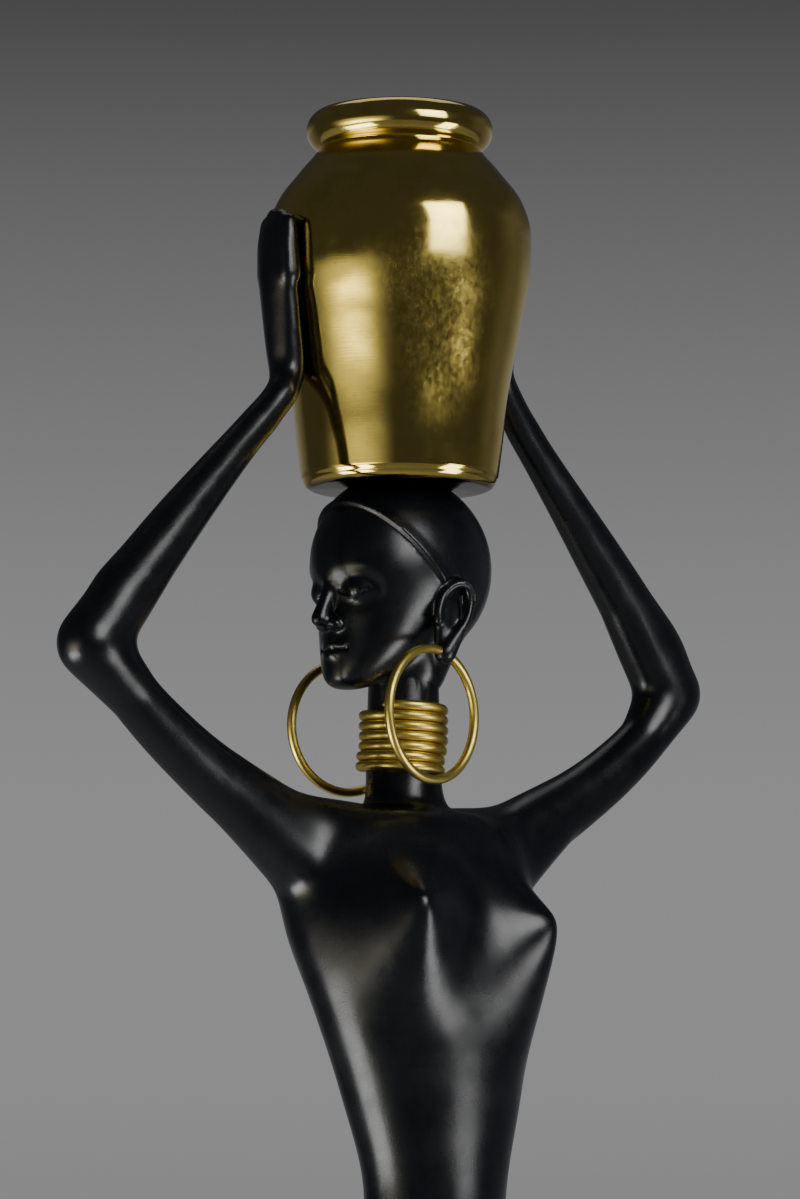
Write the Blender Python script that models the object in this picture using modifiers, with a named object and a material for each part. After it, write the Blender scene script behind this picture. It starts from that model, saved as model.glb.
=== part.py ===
"""A standing woman in black cast metal, who carries a polished brass jar on her head.

Metres, +Z up. Her body faces -Y and her head is turned to her own right, towards -X.
The origin is the centre of the base's underside.
"""

import math

import bmesh
import bpy
import numpy as np
from mathutils import Matrix, Vector

# Pieces that touch keep this gap.
CONTACT_GAP = 0.0003

# Round base, underside at the origin.
BASE_RADIUS = 0.150
BASE_HEIGHT = 0.035
BASE_ROUNDING = 0.005

# The figure, from her soles to the flat of her crown, and her head, chin to crown.
FIGURE_HEIGHT = 1.1637
HEAD_HEIGHT = 0.1240

# The jar, a vessel of revolution. Levels are heights above its underside.
JAR_WALL = 0.0025
JAR_FLOOR = 0.0030
JAR_FOOT_RADIUS = 0.0587
JAR_FOOT_ROUNDING = 0.0065
JAR_BELLY_RADIUS = 0.0797
JAR_BELLY_LEVEL = 0.1440
JAR_THROAT_RADIUS = 0.0490
JAR_THROAT_LEVEL = 0.2065
LIP_RADIUS = 0.0565
LIP_ROLL = 0.0125

# How far the wall has swelled between foot and belly, and drawn in between belly and throat.
# Each pair is a share of the way up and a share of the change in radius.
JAR_SWELL = ((0, 0), (0.19, 0.16), (0.38, 0.30), (0.70, 0.71), (0.90, 0.965), (1, 1))
JAR_DRAW = (
    (0, 0), (0.269, 0.03), (0.566, 0.28), (0.720, 0.53), (0.825, 0.70), (0.910, 0.855), (1, 1)
)

# Spiral of wire round the neck.
COIL_WIRE = 0.0060
COIL_RADIUS = 0.0240
COIL_PITCH = 0.0061
COIL_TURNS = 6.4
COIL_TOP_DROP = 0.0040
COIL_CLEARANCE = 0.0006
COIL_DRIFT = 0.0025
NECK_BACK = 0.0030

# Hoops through the ear lobes. Her left side is 1 and her right side is -1.
HOOP_RADIUS = 0.0390
HOOP_WIRE = 0.0056
HOOP_HANG = {1: math.radians(18), -1: math.radians(8)}
HOOP_SPLAY = {1: math.radians(9.5), -1: math.radians(6)}

# How far the smoothing of a skin reaches.
BODY_SOFTNESS = 0.0028
JOIN_SOFTNESS = 0.0090
CHEST_SOFTNESS = 0.0042
LIMB_SOFTNESS = 0.0050
SKULL_SOFTNESS = 0.0054
HEAD_SOFTNESS = 0.0014

# Resolution of the solids.
BODY_VOXEL = 0.0026
HEAD_VOXEL = 0.0013
BODY_TRIANGLES = 2850
HEAD_TRIANGLES = 2100
ROUND_STEPS = 28

SOLE_LEVEL = BASE_HEIGHT + CONTACT_GAP
CROWN_LEVEL = SOLE_LEVEL + FIGURE_HEIGHT
CHIN_LEVEL = CROWN_LEVEL - HEAD_HEIGHT
JAR_LEVEL = CROWN_LEVEL + CONTACT_GAP
LIP_LEVEL = JAR_THROAT_LEVEL + 0.99 * LIP_ROLL
COIL_TOP_LEVEL = CHIN_LEVEL - COIL_TOP_DROP
COIL_LOW_LEVEL = COIL_TOP_LEVEL - COIL_TURNS * COIL_PITCH
NECK_CORE = COIL_RADIUS - COIL_WIRE / 2 - COIL_CLEARANCE

# Torso and skirt from the hem up, as shares of FIGURE_HEIGHT: level, how far forward the
# section's centre lies, half width and half depth.
TRUNK = (
    (0.048, 0.002, 0.0425, 0.0350),
    (0.062, 0.002, 0.0410, 0.0340),
    (0.140, 0.004, 0.0385, 0.0315),
    (0.253, 0.008, 0.0410, 0.0335),
    (0.400, 0.008, 0.0520, 0.0400),
    (0.500, 0.010, 0.0565, 0.0435),
    (0.571, 0.020, 0.0490, 0.0385),
    (0.637, 0.028, 0.0399, 0.0301),
    (0.687, 0.025, 0.0516, 0.0361),
    (0.738, 0.018, 0.0665, 0.0435),
    (0.772, 0.009, 0.0752, 0.0465),
    (0.800, 0.003, 0.0748, 0.0450),
    (0.820, 0.001, 0.0690, 0.0400),
    (0.833, 0.001, 0.0580, 0.0300),
)
TRUNK_RINGS = 110

# Places on her left half, as shares of FIGURE_HEIGHT: to her left, forward, up from the soles.
BREAST_ROOT = (0.0330, 0.0500, 0.7760)
BREAST_TIP = {1: (0.0450, 0.0700, 0.7758), -1: (0.0420, 0.0710, 0.7840)}
BREAST_REACH = {"side": 0.043, "up": 0.040, "down": 0.071}
BREAST_ROUNDING = 0.14

# A raised arm from the collar over the elbow to the wrist: to the left, up, and its radius.
ARM = (
    (0.0300, 0.8190, 0.0190),
    (0.0690, 0.8195, 0.0215),
    (0.0900, 0.8295, 0.0196),
    (0.1206, 0.8460, 0.0162),
    (0.1495, 0.8655, 0.0145),
    (0.1735, 0.8860, 0.0136),
    (0.1880, 0.9065, 0.0158),
    (0.1815, 0.9270, 0.0167),
    (0.1637, 0.9484, 0.0152),
    (0.1431, 0.9728, 0.0135),
    (0.1221, 0.9968, 0.0115),
    (0.1005, 1.0208, 0.0097),
    (0.0860, 1.0370, 0.0093),
    (0.0750, 1.0510, 0.0094),
)
ARM_FORWARD = -0.0034
ELBOW_STATION = 6
ELBOW_POINT = {1: 0.1912, -1: 0.1965}
ELBOW_RADIUS = 0.0186
UPPER_ARM_OUT = {1: 0.0032, -1: -0.0010}
WRIST_LIFT = 0.0065
HAND_FORWARD = {1: -0.0055, -1: -0.0092}

# A hand on the jar: height above the wrist, distance off the wall, half thickness, half width.
HAND = (
    (0.0110, 0.0126, 0.0106, 0.0118),
    (0.0260, 0.0120, 0.0102, 0.0132),
    (0.0440, 0.0108, 0.0094, 0.0144),
    (0.0620, 0.0097, 0.0086, 0.0152),
    (0.0800, 0.0088, 0.0077, 0.0150),
    (0.0950, 0.0082, 0.0068, 0.0140),
)
FINGERTIPS = (0.1022, 0.1058, 0.1072, 0.1030)

# Where the skin is evened out most: places and reaches, as shares of FIGURE_HEIGHT.
SOFT_SPOTS = (
    ((0.000, 0.004, 0.812), 0.050),
    ((0.062, 0.000, 0.822), 0.060),
    ((0.058, 0.000, 0.790), 0.055),
    ((0.030, 0.020, 0.790), 0.055),
)

# The lobe's hole, as shares of HEAD_HEIGHT: sideways, forward and up from the chin.
LOBE = (0.345, 0.005, 0.176)

# The skull's egg: its centre above the chin, and its half sizes sideways, forward and up.
SKULL_LEVEL = 0.620
SKULL_RADII = (0.370, 0.482, 0.452)

# The face below the brow, from the chin up, as shares of HEAD_HEIGHT: level, how far forward
# the section's centre lies, half width and half depth.
FACE = (
    (0.004, 0.335, 0.070, 0.055),
    (0.022, 0.318, 0.112, 0.108),
    (0.060, 0.288, 0.152, 0.150),
    (0.110, 0.248, 0.190, 0.192),
    (0.170, 0.205, 0.226, 0.230),
    (0.240, 0.165, 0.258, 0.266),
    (0.320, 0.135, 0.284, 0.297),
    (0.400, 0.110, 0.302, 0.325),
    (0.480, 0.092, 0.314, 0.348),
    (0.560, 0.072, 0.322, 0.372),
    (0.700, 0.030, 0.300, 0.395),
)
FACE_RINGS = 40

# The hair's edge, seen from the side, is a slanting line: its slope and its height at the ear.
HAIR_SLOPE = 1.1
HAIR_LEVEL = 0.470


def clear_scene():
    for item in list(bpy.data.objects):
        bpy.data.objects.remove(item, do_unlink=True)


def collection(name):
    made = bpy.data.collections.new(name)
    bpy.context.scene.collection.children.link(made)
    return made


def material(name, colour, roughness, metallic):
    made = bpy.data.materials.new(name)
    made.use_nodes = True
    shader = made.node_tree.nodes["Principled BSDF"]
    shader.inputs["Base Color"].default_value = (*colour, 1.0)
    shader.inputs["Roughness"].default_value = roughness
    shader.inputs["Metallic"].default_value = metallic
    return made


def add_object(name, data, group):
    made = bpy.data.objects.new(name, data)
    group.objects.link(made)
    return made


def object_from(shape, name, group):
    """An object from a finished bmesh, which is freed."""
    mesh = bpy.data.meshes.new(name)
    shape.to_mesh(mesh)
    shape.free()
    return add_object(name, mesh, group)


def as_mesh(item):
    """Replaces an object, its modifiers and a curve's own shape by the plain mesh they make."""
    bpy.context.view_layer.update()
    graph = bpy.context.evaluated_depsgraph_get()
    mesh = bpy.data.meshes.new_from_object(item.evaluated_get(graph))
    weld = bmesh.new()
    weld.from_mesh(mesh)
    bmesh.ops.remove_doubles(weld, verts=weld.verts, dist=1e-6)
    weld.to_mesh(mesh)
    weld.free()
    name, group, place = item.name, item.users_collection[0], item.matrix_world.copy()
    bpy.data.objects.remove(item, do_unlink=True)
    plain = add_object(name, mesh, group)
    plain.matrix_world = place
    return plain


def smooth_shaded(item, sharp_degrees=40):
    item.data.shade_smooth()
    item.data.set_sharp_from_angle(angle=math.radians(sharp_degrees))


def boolean(item, other, operation):
    modifier = item.modifiers.new(f"{operation.lower()} {other.name}", "BOOLEAN")
    modifier.operation = operation
    modifier.object = other
    modifier.solver = "EXACT"


def as_cutter(item):
    item.hide_render = True
    item.display_type = "WIRE"
    return item


def add_ball(clay, centre, radii, segments=20):
    placed = Matrix.Translation(centre) @ Matrix.Diagonal((*radii, 1.0))
    bmesh.ops.create_uvsphere(
        clay, u_segments=segments, v_segments=segments // 2 + 1, radius=1.0, matrix=placed
    )


def add_hull(clay, balls):
    """The skin stretched over several balls, each a centre and three radii."""
    hull = bmesh.new()
    for centre, radii in balls:
        add_ball(hull, centre, radii)
    made = bmesh.ops.convex_hull(hull, input=hull.verts)
    spare = {v for v in made["geom_interior"] if isinstance(v, bmesh.types.BMVert)}
    bmesh.ops.delete(hull, geom=list(spare), context="VERTS")
    mesh = bpy.data.meshes.new("hull")
    hull.to_mesh(mesh)
    hull.free()
    clay.from_mesh(mesh)
    bpy.data.meshes.remove(mesh)


def add_chain(clay, balls):
    """A limb: each ball is joined to the next by a stretched skin."""
    for pair in zip(balls, balls[1:]):
        add_hull(clay, pair)


def add_loft(clay, rings):
    """A closed skin through rings that have the same number of points."""
    loops = [[clay.verts.new(point) for point in ring] for ring in rings]
    count = len(loops[0])
    for lower, upper in zip(loops, loops[1:]):
        for i in range(count):
            j = (i + 1) % count
            clay.faces.new((lower[i], lower[j], upper[j], upper[i]))
    clay.faces.new(reversed(loops[0]))
    clay.faces.new(loops[-1])


def fused(clay, name, group, voxel, softness):
    """One smooth skin round overlapping shapes."""
    item = object_from(clay, name, group)
    remesh = item.modifiers.new("fuse", "REMESH")
    remesh.mode = "VOXEL"
    remesh.voxel_size = voxel
    item = as_mesh(item)
    eased(item.data, softness, voxel)
    return item


def read_skin(mesh):
    """The places and normals of a mesh's points."""
    places = np.empty(len(mesh.vertices) * 3, dtype=np.float32)
    normals = np.empty(len(mesh.vertices) * 3, dtype=np.float32)
    mesh.vertices.foreach_get("co", places)
    mesh.vertex_normals.foreach_get("vector", normals)
    return places.reshape(-1, 3), normals.reshape(-1, 3)


def write_skin(mesh, places):
    mesh.vertices.foreach_set("co", places.astype(np.float32).ravel())
    mesh.update()


def eased(mesh, softness, voxel, spots=()):
    """Evens out the skin: everywhere, or only round some spots, each a place and a reach."""
    places = read_skin(mesh)[0].astype(np.float64)
    ends = np.empty(len(mesh.edges) * 2, dtype=np.int32)
    mesh.edges.foreach_get("vertices", ends)
    first, second = ends.reshape(-1, 2).T
    weight = np.full(len(places), 0.0 if spots else 1.0)
    for place, reach in spots:
        gap = np.linalg.norm(places - np.array(place), axis=1)
        weight = np.maximum(weight, smooth_step((reach - gap) / (0.6 * reach)))
    used = (weight[first] > 0) | (weight[second] > 0)
    first, second = first[used], second[used]
    count = len(places)
    meets = np.bincount(first, minlength=count) + np.bincount(second, minlength=count)
    share = 0.5 * weight / np.maximum(meets, 1)
    for _ in range(round(4 * (softness / voxel) ** 2)):
        for axis in range(3):
            line = places[:, axis]
            pull = np.bincount(first, line[second] - line[first], count)
            pull += np.bincount(second, line[first] - line[second], count)
            places[:, axis] = line + share * pull
    write_skin(mesh, places)


def drawn_out(mesh, root, tip, side, up, down):
    """Pulls the skin out to a soft point. The pull fades over a reach to the side, up and down."""
    places = read_skin(mesh)[0].astype(np.float64)
    way = np.array(tip) - np.array(root)
    axis = way / np.linalg.norm(way)
    across = np.cross(axis, (0.0, 0.0, 1.0))
    across /= np.linalg.norm(across)
    upward = np.cross(across, axis)
    rel = places - np.array(root)
    high = rel @ upward
    gap = np.hypot(rel @ across / side, high / np.where(high > 0, up, down))
    gap = np.hypot(gap, BREAST_ROUNDING) - BREAST_ROUNDING
    amount = (1 - np.clip(gap, 0, 1)) ** 1.9 * smooth_step((rel @ axis + 0.024) / 0.022)
    write_skin(mesh, places + amount[:, None] * way)


def reduced(item, triangles):
    """The same skin with about so many triangles."""
    item.data.calc_loop_triangles()
    reduce = item.modifiers.new("reduce", "DECIMATE")
    reduce.ratio = min(1.0, triangles / len(item.data.loop_triangles))
    return as_mesh(item)


def smooth_path(stations, at):
    """Values at given levels on a smooth curve through stations, whose first column is the level."""
    knots = np.array(stations, dtype=float)
    slopes = np.gradient(knots, knots[:, 0], axis=0)
    at = np.atleast_1d(at)
    index = np.clip(np.searchsorted(knots[:, 0], at) - 1, 0, len(knots) - 2)
    span = (knots[index + 1, 0] - knots[index, 0])[:, None]
    t = (at[:, None] - knots[index, :1]) / span
    rise = (2 * t**3 - 3 * t**2 + 1) * knots[index] + (3 * t**2 - 2 * t**3) * knots[index + 1]
    lean = (t**3 - 2 * t**2 + t) * slopes[index] + (t**3 - t**2) * slopes[index + 1]
    return rise + lean * span


def smooth_step(value):
    value = np.clip(value, 0.0, 1.0)
    return value * value * (3 - 2 * value)


def body_point(left, forward, up):
    """A place given in shares of the figure's height."""
    return Vector((left, -forward, up)) * FIGURE_HEIGHT + Vector((0, 0, SOLE_LEVEL))


def body_radii(*shares):
    """Radii along X, Y and Z. One share makes a ball."""
    shares = shares * 3 if len(shares) == 1 else shares
    return Vector(shares) * FIGURE_HEIGHT


def head_point(left, forward, up):
    """A place on her head in shares of its height: to her left, the way she faces, up from the chin."""
    return Vector((-forward, -left, up)) * HEAD_HEIGHT + Vector((0, 0, CHIN_LEVEL))


def head_radii(*shares):
    """Radii sideways, forward and up. One share makes a ball."""
    side, forward, up = shares * 3 if len(shares) == 1 else shares
    return Vector((forward, side, up)) * HEAD_HEIGHT


def mirrored(place, side):
    return (place[0] * side, *place[1:])


def jar_radius(level):
    """Outer radius of the jar at a height above its underside, from the foot to the throat."""
    if level <= JAR_BELLY_LEVEL:
        share = smooth_path(JAR_SWELL, max(0.0, level) / JAR_BELLY_LEVEL)[0, 1]
        return JAR_FOOT_RADIUS + (JAR_BELLY_RADIUS - JAR_FOOT_RADIUS) * share
    way = (level - JAR_BELLY_LEVEL) / (JAR_THROAT_LEVEL - JAR_BELLY_LEVEL)
    share = smooth_path(JAR_DRAW, min(1.0, way))[0, 1]
    return JAR_BELLY_RADIUS - (JAR_BELLY_RADIUS - JAR_THROAT_RADIUS) * share


def arc(centre, radius, start, end, steps):
    """Points on an arc in the profile's plane. Angles are in degrees."""
    turn = [math.radians(start + (end - start) * i / steps) for i in range(steps + 1)]
    return [(centre[0] + radius * math.cos(a), centre[1] + radius * math.sin(a)) for a in turn]


def jar_wall(inset, rings=13):
    """The wall's profile from foot to throat, moved inwards by an inset."""
    levels = np.linspace(JAR_FOOT_ROUNDING, JAR_THROAT_LEVEL, rings)
    radii = np.array([jar_radius(level) for level in levels])
    slope = np.gradient(radii, levels)
    length = np.sqrt(1 + slope**2)
    return list(zip(radii - inset / length, levels + inset * slope / length))


def jar_outline(swelling=0.0):
    """The outside from the middle of the underside to the throat, all of it larger by a swelling."""
    corner = (jar_radius(0) - JAR_FOOT_ROUNDING, JAR_FOOT_ROUNDING)
    foot = arc(corner, JAR_FOOT_ROUNDING + swelling, -90, 0, 3)
    return [(0.0, -swelling), *foot[:-1], *jar_wall(-swelling)]


def jar_profile():
    lip_centre = (LIP_RADIUS - LIP_ROLL, LIP_LEVEL)
    meet_outside = math.degrees(math.acos((JAR_THROAT_RADIUS - lip_centre[0]) / LIP_ROLL))
    throat_inside = JAR_THROAT_RADIUS - JAR_WALL
    meet_inside = math.degrees(math.acos((throat_inside - lip_centre[0]) / LIP_ROLL))
    lip = arc(lip_centre, LIP_ROLL, -meet_outside, 360 - meet_inside, 11)
    wall = reversed(jar_wall(JAR_WALL, 10))
    inside = [point for point in wall if point[1] > JAR_FLOOR + 0.004]
    floor = [(inside[-1][0] - 0.003, JAR_FLOOR), (0.0, JAR_FLOOR)]
    return [*jar_outline(), *lip, *inside, *floor]


def turned(profile, name, group):
    """A solid of revolution about Z from a profile of radius and height."""
    shape = bmesh.new()
    points = [shape.verts.new((radius, 0, height)) for radius, height in profile]
    for pair in zip(points, points[1:]):
        shape.edges.new(pair)
    item = object_from(shape, name, group)
    screw = item.modifiers.new("turn", "SCREW")
    screw.steps = screw.render_steps = ROUND_STEPS
    screw.use_merge_vertices = True
    screw.merge_threshold = 1e-5
    screw.use_normal_calculate = True
    return as_mesh(item)


def facing_out(item):
    shape = bmesh.new()
    shape.from_mesh(item.data)
    bmesh.ops.recalc_face_normals(shape, faces=shape.faces)
    shape.to_mesh(item.data)
    shape.free()
    return item


def build_jar(group, brass):
    jar = facing_out(turned(jar_profile(), "jar", group))
    jar.location.z = JAR_LEVEL
    jar.data.materials.append(brass)
    smooth_shaded(jar)
    return jar


def jar_cutter(group):
    """The jar's outside as one block, larger by the contact gap."""
    profile = [*jar_outline(CONTACT_GAP), (0.0, JAR_THROAT_LEVEL)]
    cutter = facing_out(turned(profile, "jar space", group))
    cutter.location.z = JAR_LEVEL
    return as_cutter(cutter)


def crown_cutter(group):
    """Levels the crown, on which the jar stands."""
    shape = bmesh.new()
    tall = 0.35 * HEAD_HEIGHT
    place = Matrix.Translation((0, 0, CROWN_LEVEL + tall / 2))
    bmesh.ops.create_cone(
        shape,
        cap_ends=True,
        segments=ROUND_STEPS,
        radius1=JAR_FOOT_RADIUS,
        radius2=JAR_FOOT_RADIUS,
        depth=tall,
        matrix=place,
    )
    return as_cutter(object_from(shape, "crown space", group))


def sole_cutter(group):
    shape = bmesh.new()
    place = Matrix.Translation((0, 0, SOLE_LEVEL - 0.02)) @ Matrix.Diagonal((0.5, 0.5, 0.04, 1))
    bmesh.ops.create_cube(shape, size=1.0, matrix=place)
    return as_cutter(object_from(shape, "space under soles", group))


def coil_centre(level):
    """The lower turns sit a little off the neck's axis."""
    low = smooth_step((COIL_TOP_LEVEL - level) / (COIL_TURNS * COIL_PITCH) * 3.2 - 2.0)
    return Vector((NECK_BACK - COIL_DRIFT * float(low), 0, level))


def build_coil(group, brass):
    path = bpy.data.curves.new("neck_rings", "CURVE")
    path.dimensions = "3D"
    path.bevel_depth = COIL_WIRE / 2
    path.bevel_resolution = 1
    path.use_fill_caps = True
    count = int(COIL_TURNS * 15)
    spline = path.splines.new("POLY")
    spline.points.add(count)
    for i in range(count + 1):
        turn = COIL_TURNS * i / count
        angle = math.radians(200) + 2 * math.pi * turn
        level = COIL_TOP_LEVEL - COIL_WIRE / 2 - COIL_PITCH * turn
        around = Vector((math.cos(angle), math.sin(angle), 0)) * COIL_RADIUS
        spline.points[i].co = (*(coil_centre(level) + around), 1)
    coil = as_mesh(add_object("neck_rings", path, group))
    coil = facing_out(coil)
    coil.data.materials.append(brass)
    smooth_shaded(coil, 60)
    return coil


def neck_cutter(group):
    """The room for the spiral: a sleeve round a core of the neck that follows the turns."""
    top = COIL_TOP_LEVEL + COIL_CLEARANCE
    low = COIL_LOW_LEVEL - COIL_WIRE - COIL_CLEARANCE
    turn = [2 * math.pi * i / ROUND_STEPS for i in range(ROUND_STEPS)]
    wide = COIL_RADIUS + COIL_DRIFT + COIL_WIRE

    def circle(radius, level):
        middle = coil_centre(level)
        return [middle + Vector((math.cos(a), math.sin(a), 0)) * radius for a in turn]

    outside = [circle(wide, level) for level in (low, top)]
    inside = [circle(NECK_CORE, level) for level in np.linspace(top, low, 9)]
    shape = bmesh.new()
    rings = [[shape.verts.new(place) for place in ring] for ring in (*outside, *inside)]
    for below, above in zip(rings, [*rings[1:], rings[0]]):
        for i in range(ROUND_STEPS):
            j = (i + 1) % ROUND_STEPS
            shape.faces.new((below[i], below[j], above[j], above[i]))
    return as_cutter(facing_out(object_from(shape, "spiral space", group)))


def hoop_frame(side):
    """Where a hoop hangs: its wire runs through the lobe, a little behind the hoop's top."""
    lobe = head_point(*mirrored(LOBE, side))
    splay = Matrix.Rotation(side * HOOP_SPLAY[side], 4, "Z")
    upright = Matrix.Rotation(math.radians(90), 4, "X")
    hang = HOOP_HANG[side]
    reach = Vector((-math.sin(hang), 0, -math.cos(hang))) * HOOP_RADIUS
    return Matrix.Translation(lobe + splay @ reach) @ splay @ upright


def ring(name, group, frame, wire, steps, sides):
    bpy.ops.mesh.primitive_torus_add(
        major_radius=HOOP_RADIUS,
        minor_radius=wire,
        major_segments=steps,
        minor_segments=sides,
    )
    item = bpy.context.object
    item.name = name
    for old in item.users_collection:
        old.objects.unlink(item)
    group.objects.link(item)
    item.matrix_world = frame
    return item


def build_hoop(side, name, group, brass):
    hoop = ring(name, group, hoop_frame(side), HOOP_WIRE / 2, 28, 6)
    hoop.data.materials.append(brass)
    smooth_shaded(hoop, 70)
    return hoop


def hoop_cutter(side, group):
    name = "left lobe hole" if side > 0 else "right lobe hole"
    wire = (HOOP_WIRE / 2 + CONTACT_GAP) / math.cos(math.pi / 8)
    return as_cutter(ring(name, group, hoop_frame(side), wire, 64, 8))


def add_trunk(clay):
    turn = [2 * math.pi * i / 48 for i in range(48)]
    levels = np.linspace(TRUNK[0][0], TRUNK[-1][0], TRUNK_RINGS)
    for_rings = smooth_path(TRUNK, levels)
    rings = [
        [body_point(w * math.cos(a), f - d * math.sin(a), u) for a in turn]
        for u, f, w, d in for_rings
    ]
    add_loft(clay, rings)


def add_neck(clay):
    low = body_point(0, 0.004, 0.812)
    middle = body_point(0, 0.000, 0.848)
    high = Vector((NECK_BACK, 0, CHIN_LEVEL + 0.012))
    low.x = middle.x = NECK_BACK
    add_chain(
        clay,
        (
            (low, body_radii(0.034, 0.027, 0.016)),
            (low.lerp(middle, 0.6), body_radii(0.0220, 0.0210, 0.010)),
            (middle, body_radii(0.0200, 0.0200, 0.010)),
            (high, body_radii(0.0185, 0.0185, 0.010)),
        ),
    )


def arm_point(side, left, up, share):
    """A place in a raised arm. The arms' ends are not quite level, by a share from the elbow on."""
    lift = WRIST_LIFT * side * share**2
    return body_point(left * side, ARM_FORWARD, up + lift)


def arm_ball(side, at):
    """The ball at a station of a raised arm, or between two stations."""
    last = len(ARM) - 1
    stations = [(i, *station) for i, station in enumerate(ARM)]
    _, left, up, radius = smooth_path(stations, at)[0]
    left += UPPER_ARM_OUT[side] * float(smooth_step(1 - abs(at - 4.2) / 3.2))
    share = max(0.0, (at - ELBOW_STATION) / (last - ELBOW_STATION))
    flat = 1.15 if at < 1 else 0.96
    return arm_point(side, left, up, share), body_radii(radius, flat * radius, radius)


def elbow_place(side):
    return arm_point(side, ELBOW_POINT[side], ARM[ELBOW_STATION][1] + 0.0005, 0)


def add_arm(clay, side):
    """The limb, and the elbow's point stretched a little way along both bones."""
    last = len(ARM) - 1
    add_chain(clay, [arm_ball(side, at) for at in np.linspace(0, last, 3 * last + 1)])
    point = (elbow_place(side), body_radii(ELBOW_RADIUS, 0.92 * ELBOW_RADIUS, ELBOW_RADIUS))
    for along in (-1.15, 2.2):
        add_hull(clay, (point, arm_ball(side, ELBOW_STATION + along)))


def add_armpit(clay, side):
    """The web of muscle from the flank and the chest to the upper arm."""
    flank = body_point(0.0505 * side, 0.003, 0.784)
    add_hull(
        clay,
        (
            (flank, body_radii(0.010, 0.022, 0.016)),
            (arm_point(side, ARM[1][0], ARM[1][1] - 0.002, 0), body_radii(0.016, 0.020, 0.019)),
            (arm_point(side, ARM[3][0], ARM[3][1], 0), body_radii(0.0140)),
        ),
    )


def wrist_place(side):
    return arm_point(side, ARM[-1][0], ARM[-1][1], 1)


def hand_point(side, level, across, off):
    """A place by the jar's wall: height above the wrist, across the palm, off the wall."""
    height = wrist_place(side).z + level
    radius = jar_radius(height - JAR_LEVEL) + off
    back = -HAND_FORWARD[side] * FIGURE_HEIGHT + across
    return Vector((side * math.sqrt(radius**2 - back**2), back, height))


def add_hand(clay, side):
    wrist = (wrist_place(side), body_radii(ARM[-1][2]))
    balls = [wrist]
    stations = [(i, *station) for i, station in enumerate(HAND)]
    for at in np.linspace(0, len(HAND) - 1, 11):
        _, level, off, thick, wide = smooth_path(stations, at)[0]
        balls.append((hand_point(side, level, 0.0, off), (thick, wide, 0.0090)))
    add_chain(clay, balls)
    for i, reach in enumerate(FINGERTIPS):
        across = (i - 1.5) * 0.0080
        add_chain(
            clay,
            (
                (hand_point(side, 0.070, across, 0.0084), (0.0080, 0.0062, 0.0060)),
                (hand_point(side, 0.088, across * 0.97, 0.0078), (0.0070, 0.0058, 0.0060)),
                (hand_point(side, reach, across * 0.92, 0.0070), (0.0056, 0.0054, 0.0058)),
            ),
        )
    add_chain(
        clay,
        (
            (hand_point(side, 0.016, 0.006, 0.0085), (0.0088, 0.0088, 0.0085)),
            (hand_point(side, 0.032, 0.0135, 0.0075), (0.0080, 0.0080, 0.0085)),
            (hand_point(side, 0.048, 0.0178, 0.0064), (0.0068, 0.0066, 0.0075)),
            (hand_point(side, 0.064, 0.0188, 0.0054), (0.0056, 0.0052, 0.0065)),
        ),
    )


def add_foot(clay, side):
    ankle = body_point(0.0235 * side, -0.004, 0.046)
    heel = body_point(0.0245 * side, -0.024, 0.013)
    ball = body_point(0.0300 * side, 0.066, 0.008)
    toes = body_point(0.0310 * side, 0.086, 0.005)
    add_hull(
        clay,
        (
            (ankle, body_radii(0.0165, 0.018, 0.016)),
            (heel, body_radii(0.0150, 0.016, 0.014)),
            (ball, body_radii(0.0210, 0.018, 0.011)),
        ),
    )
    add_hull(
        clay,
        (
            (ball, body_radii(0.0210, 0.018, 0.011)),
            (toes, body_radii(0.0190, 0.014, 0.008)),
        ),
    )


def shaped_chest(mesh):
    """Soft joins at neck, shoulders and armpits, and the two breasts drawn out of the chest."""
    bends = [(elbow_place(side), 0.045) for side in (-1, 1)]
    bends += [(wrist_place(side), 0.030) for side in (-1, 1)]
    eased(mesh, LIMB_SOFTNESS, BODY_VOXEL, bends)
    spots = []
    for place, reach in SOFT_SPOTS:
        for side in (-1, 1):
            spots.append((body_point(*mirrored(place, side)), reach * FIGURE_HEIGHT))
    eased(mesh, JOIN_SOFTNESS, BODY_VOXEL, spots)
    reaches = [BREAST_REACH[way] * FIGURE_HEIGHT for way in ("side", "up", "down")]
    for side in (-1, 1):
        root = body_point(*mirrored(BREAST_ROOT, side))
        tip = body_point(*mirrored(BREAST_TIP[side], side))
        drawn_out(mesh, root, tip, *reaches)
    chest = [(body_point(0, 0.040, 0.750), 0.090 * FIGURE_HEIGHT)]
    eased(mesh, CHEST_SOFTNESS, BODY_VOXEL, chest)


def build_body(group):
    clay = bmesh.new()
    add_trunk(clay)
    add_neck(clay)
    for side in (-1, 1):
        add_arm(clay, side)
        add_armpit(clay, side)
        add_hand(clay, side)
        add_foot(clay, side)
    body = fused(clay, "figure", group, BODY_VOXEL, BODY_SOFTNESS)
    shaped_chest(body.data)
    return reduced(body, BODY_TRIANGLES)


def add_skull(clay):
    """An egg-shaped skull, and an oval face below it that narrows to the chin."""
    add_ball(clay, head_point(0, 0, SKULL_LEVEL), head_radii(*SKULL_RADII), 48)
    turn = [2 * math.pi * i / 48 for i in range(48)]
    rings = [
        [head_point(w * math.cos(a), f - d * math.sin(a), u) for a in turn]
        for u, f, w, d in smooth_path(FACE, np.linspace(FACE[0][0], FACE[-1][0], FACE_RINGS))
    ]
    add_loft(clay, rings)
    add_ball(clay, head_point(0, 0.318, 0.190), head_radii(0.150, 0.132, 0.120), 32)
    add_chain(
        clay,
        (
            (head_point(0, -0.100, 0.330), head_radii(0.245, 0.230, 0.165)),
            (head_point(0, -0.040, 0.060), head_radii(0.182, 0.182, 0.085)),
        ),
    )


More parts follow.
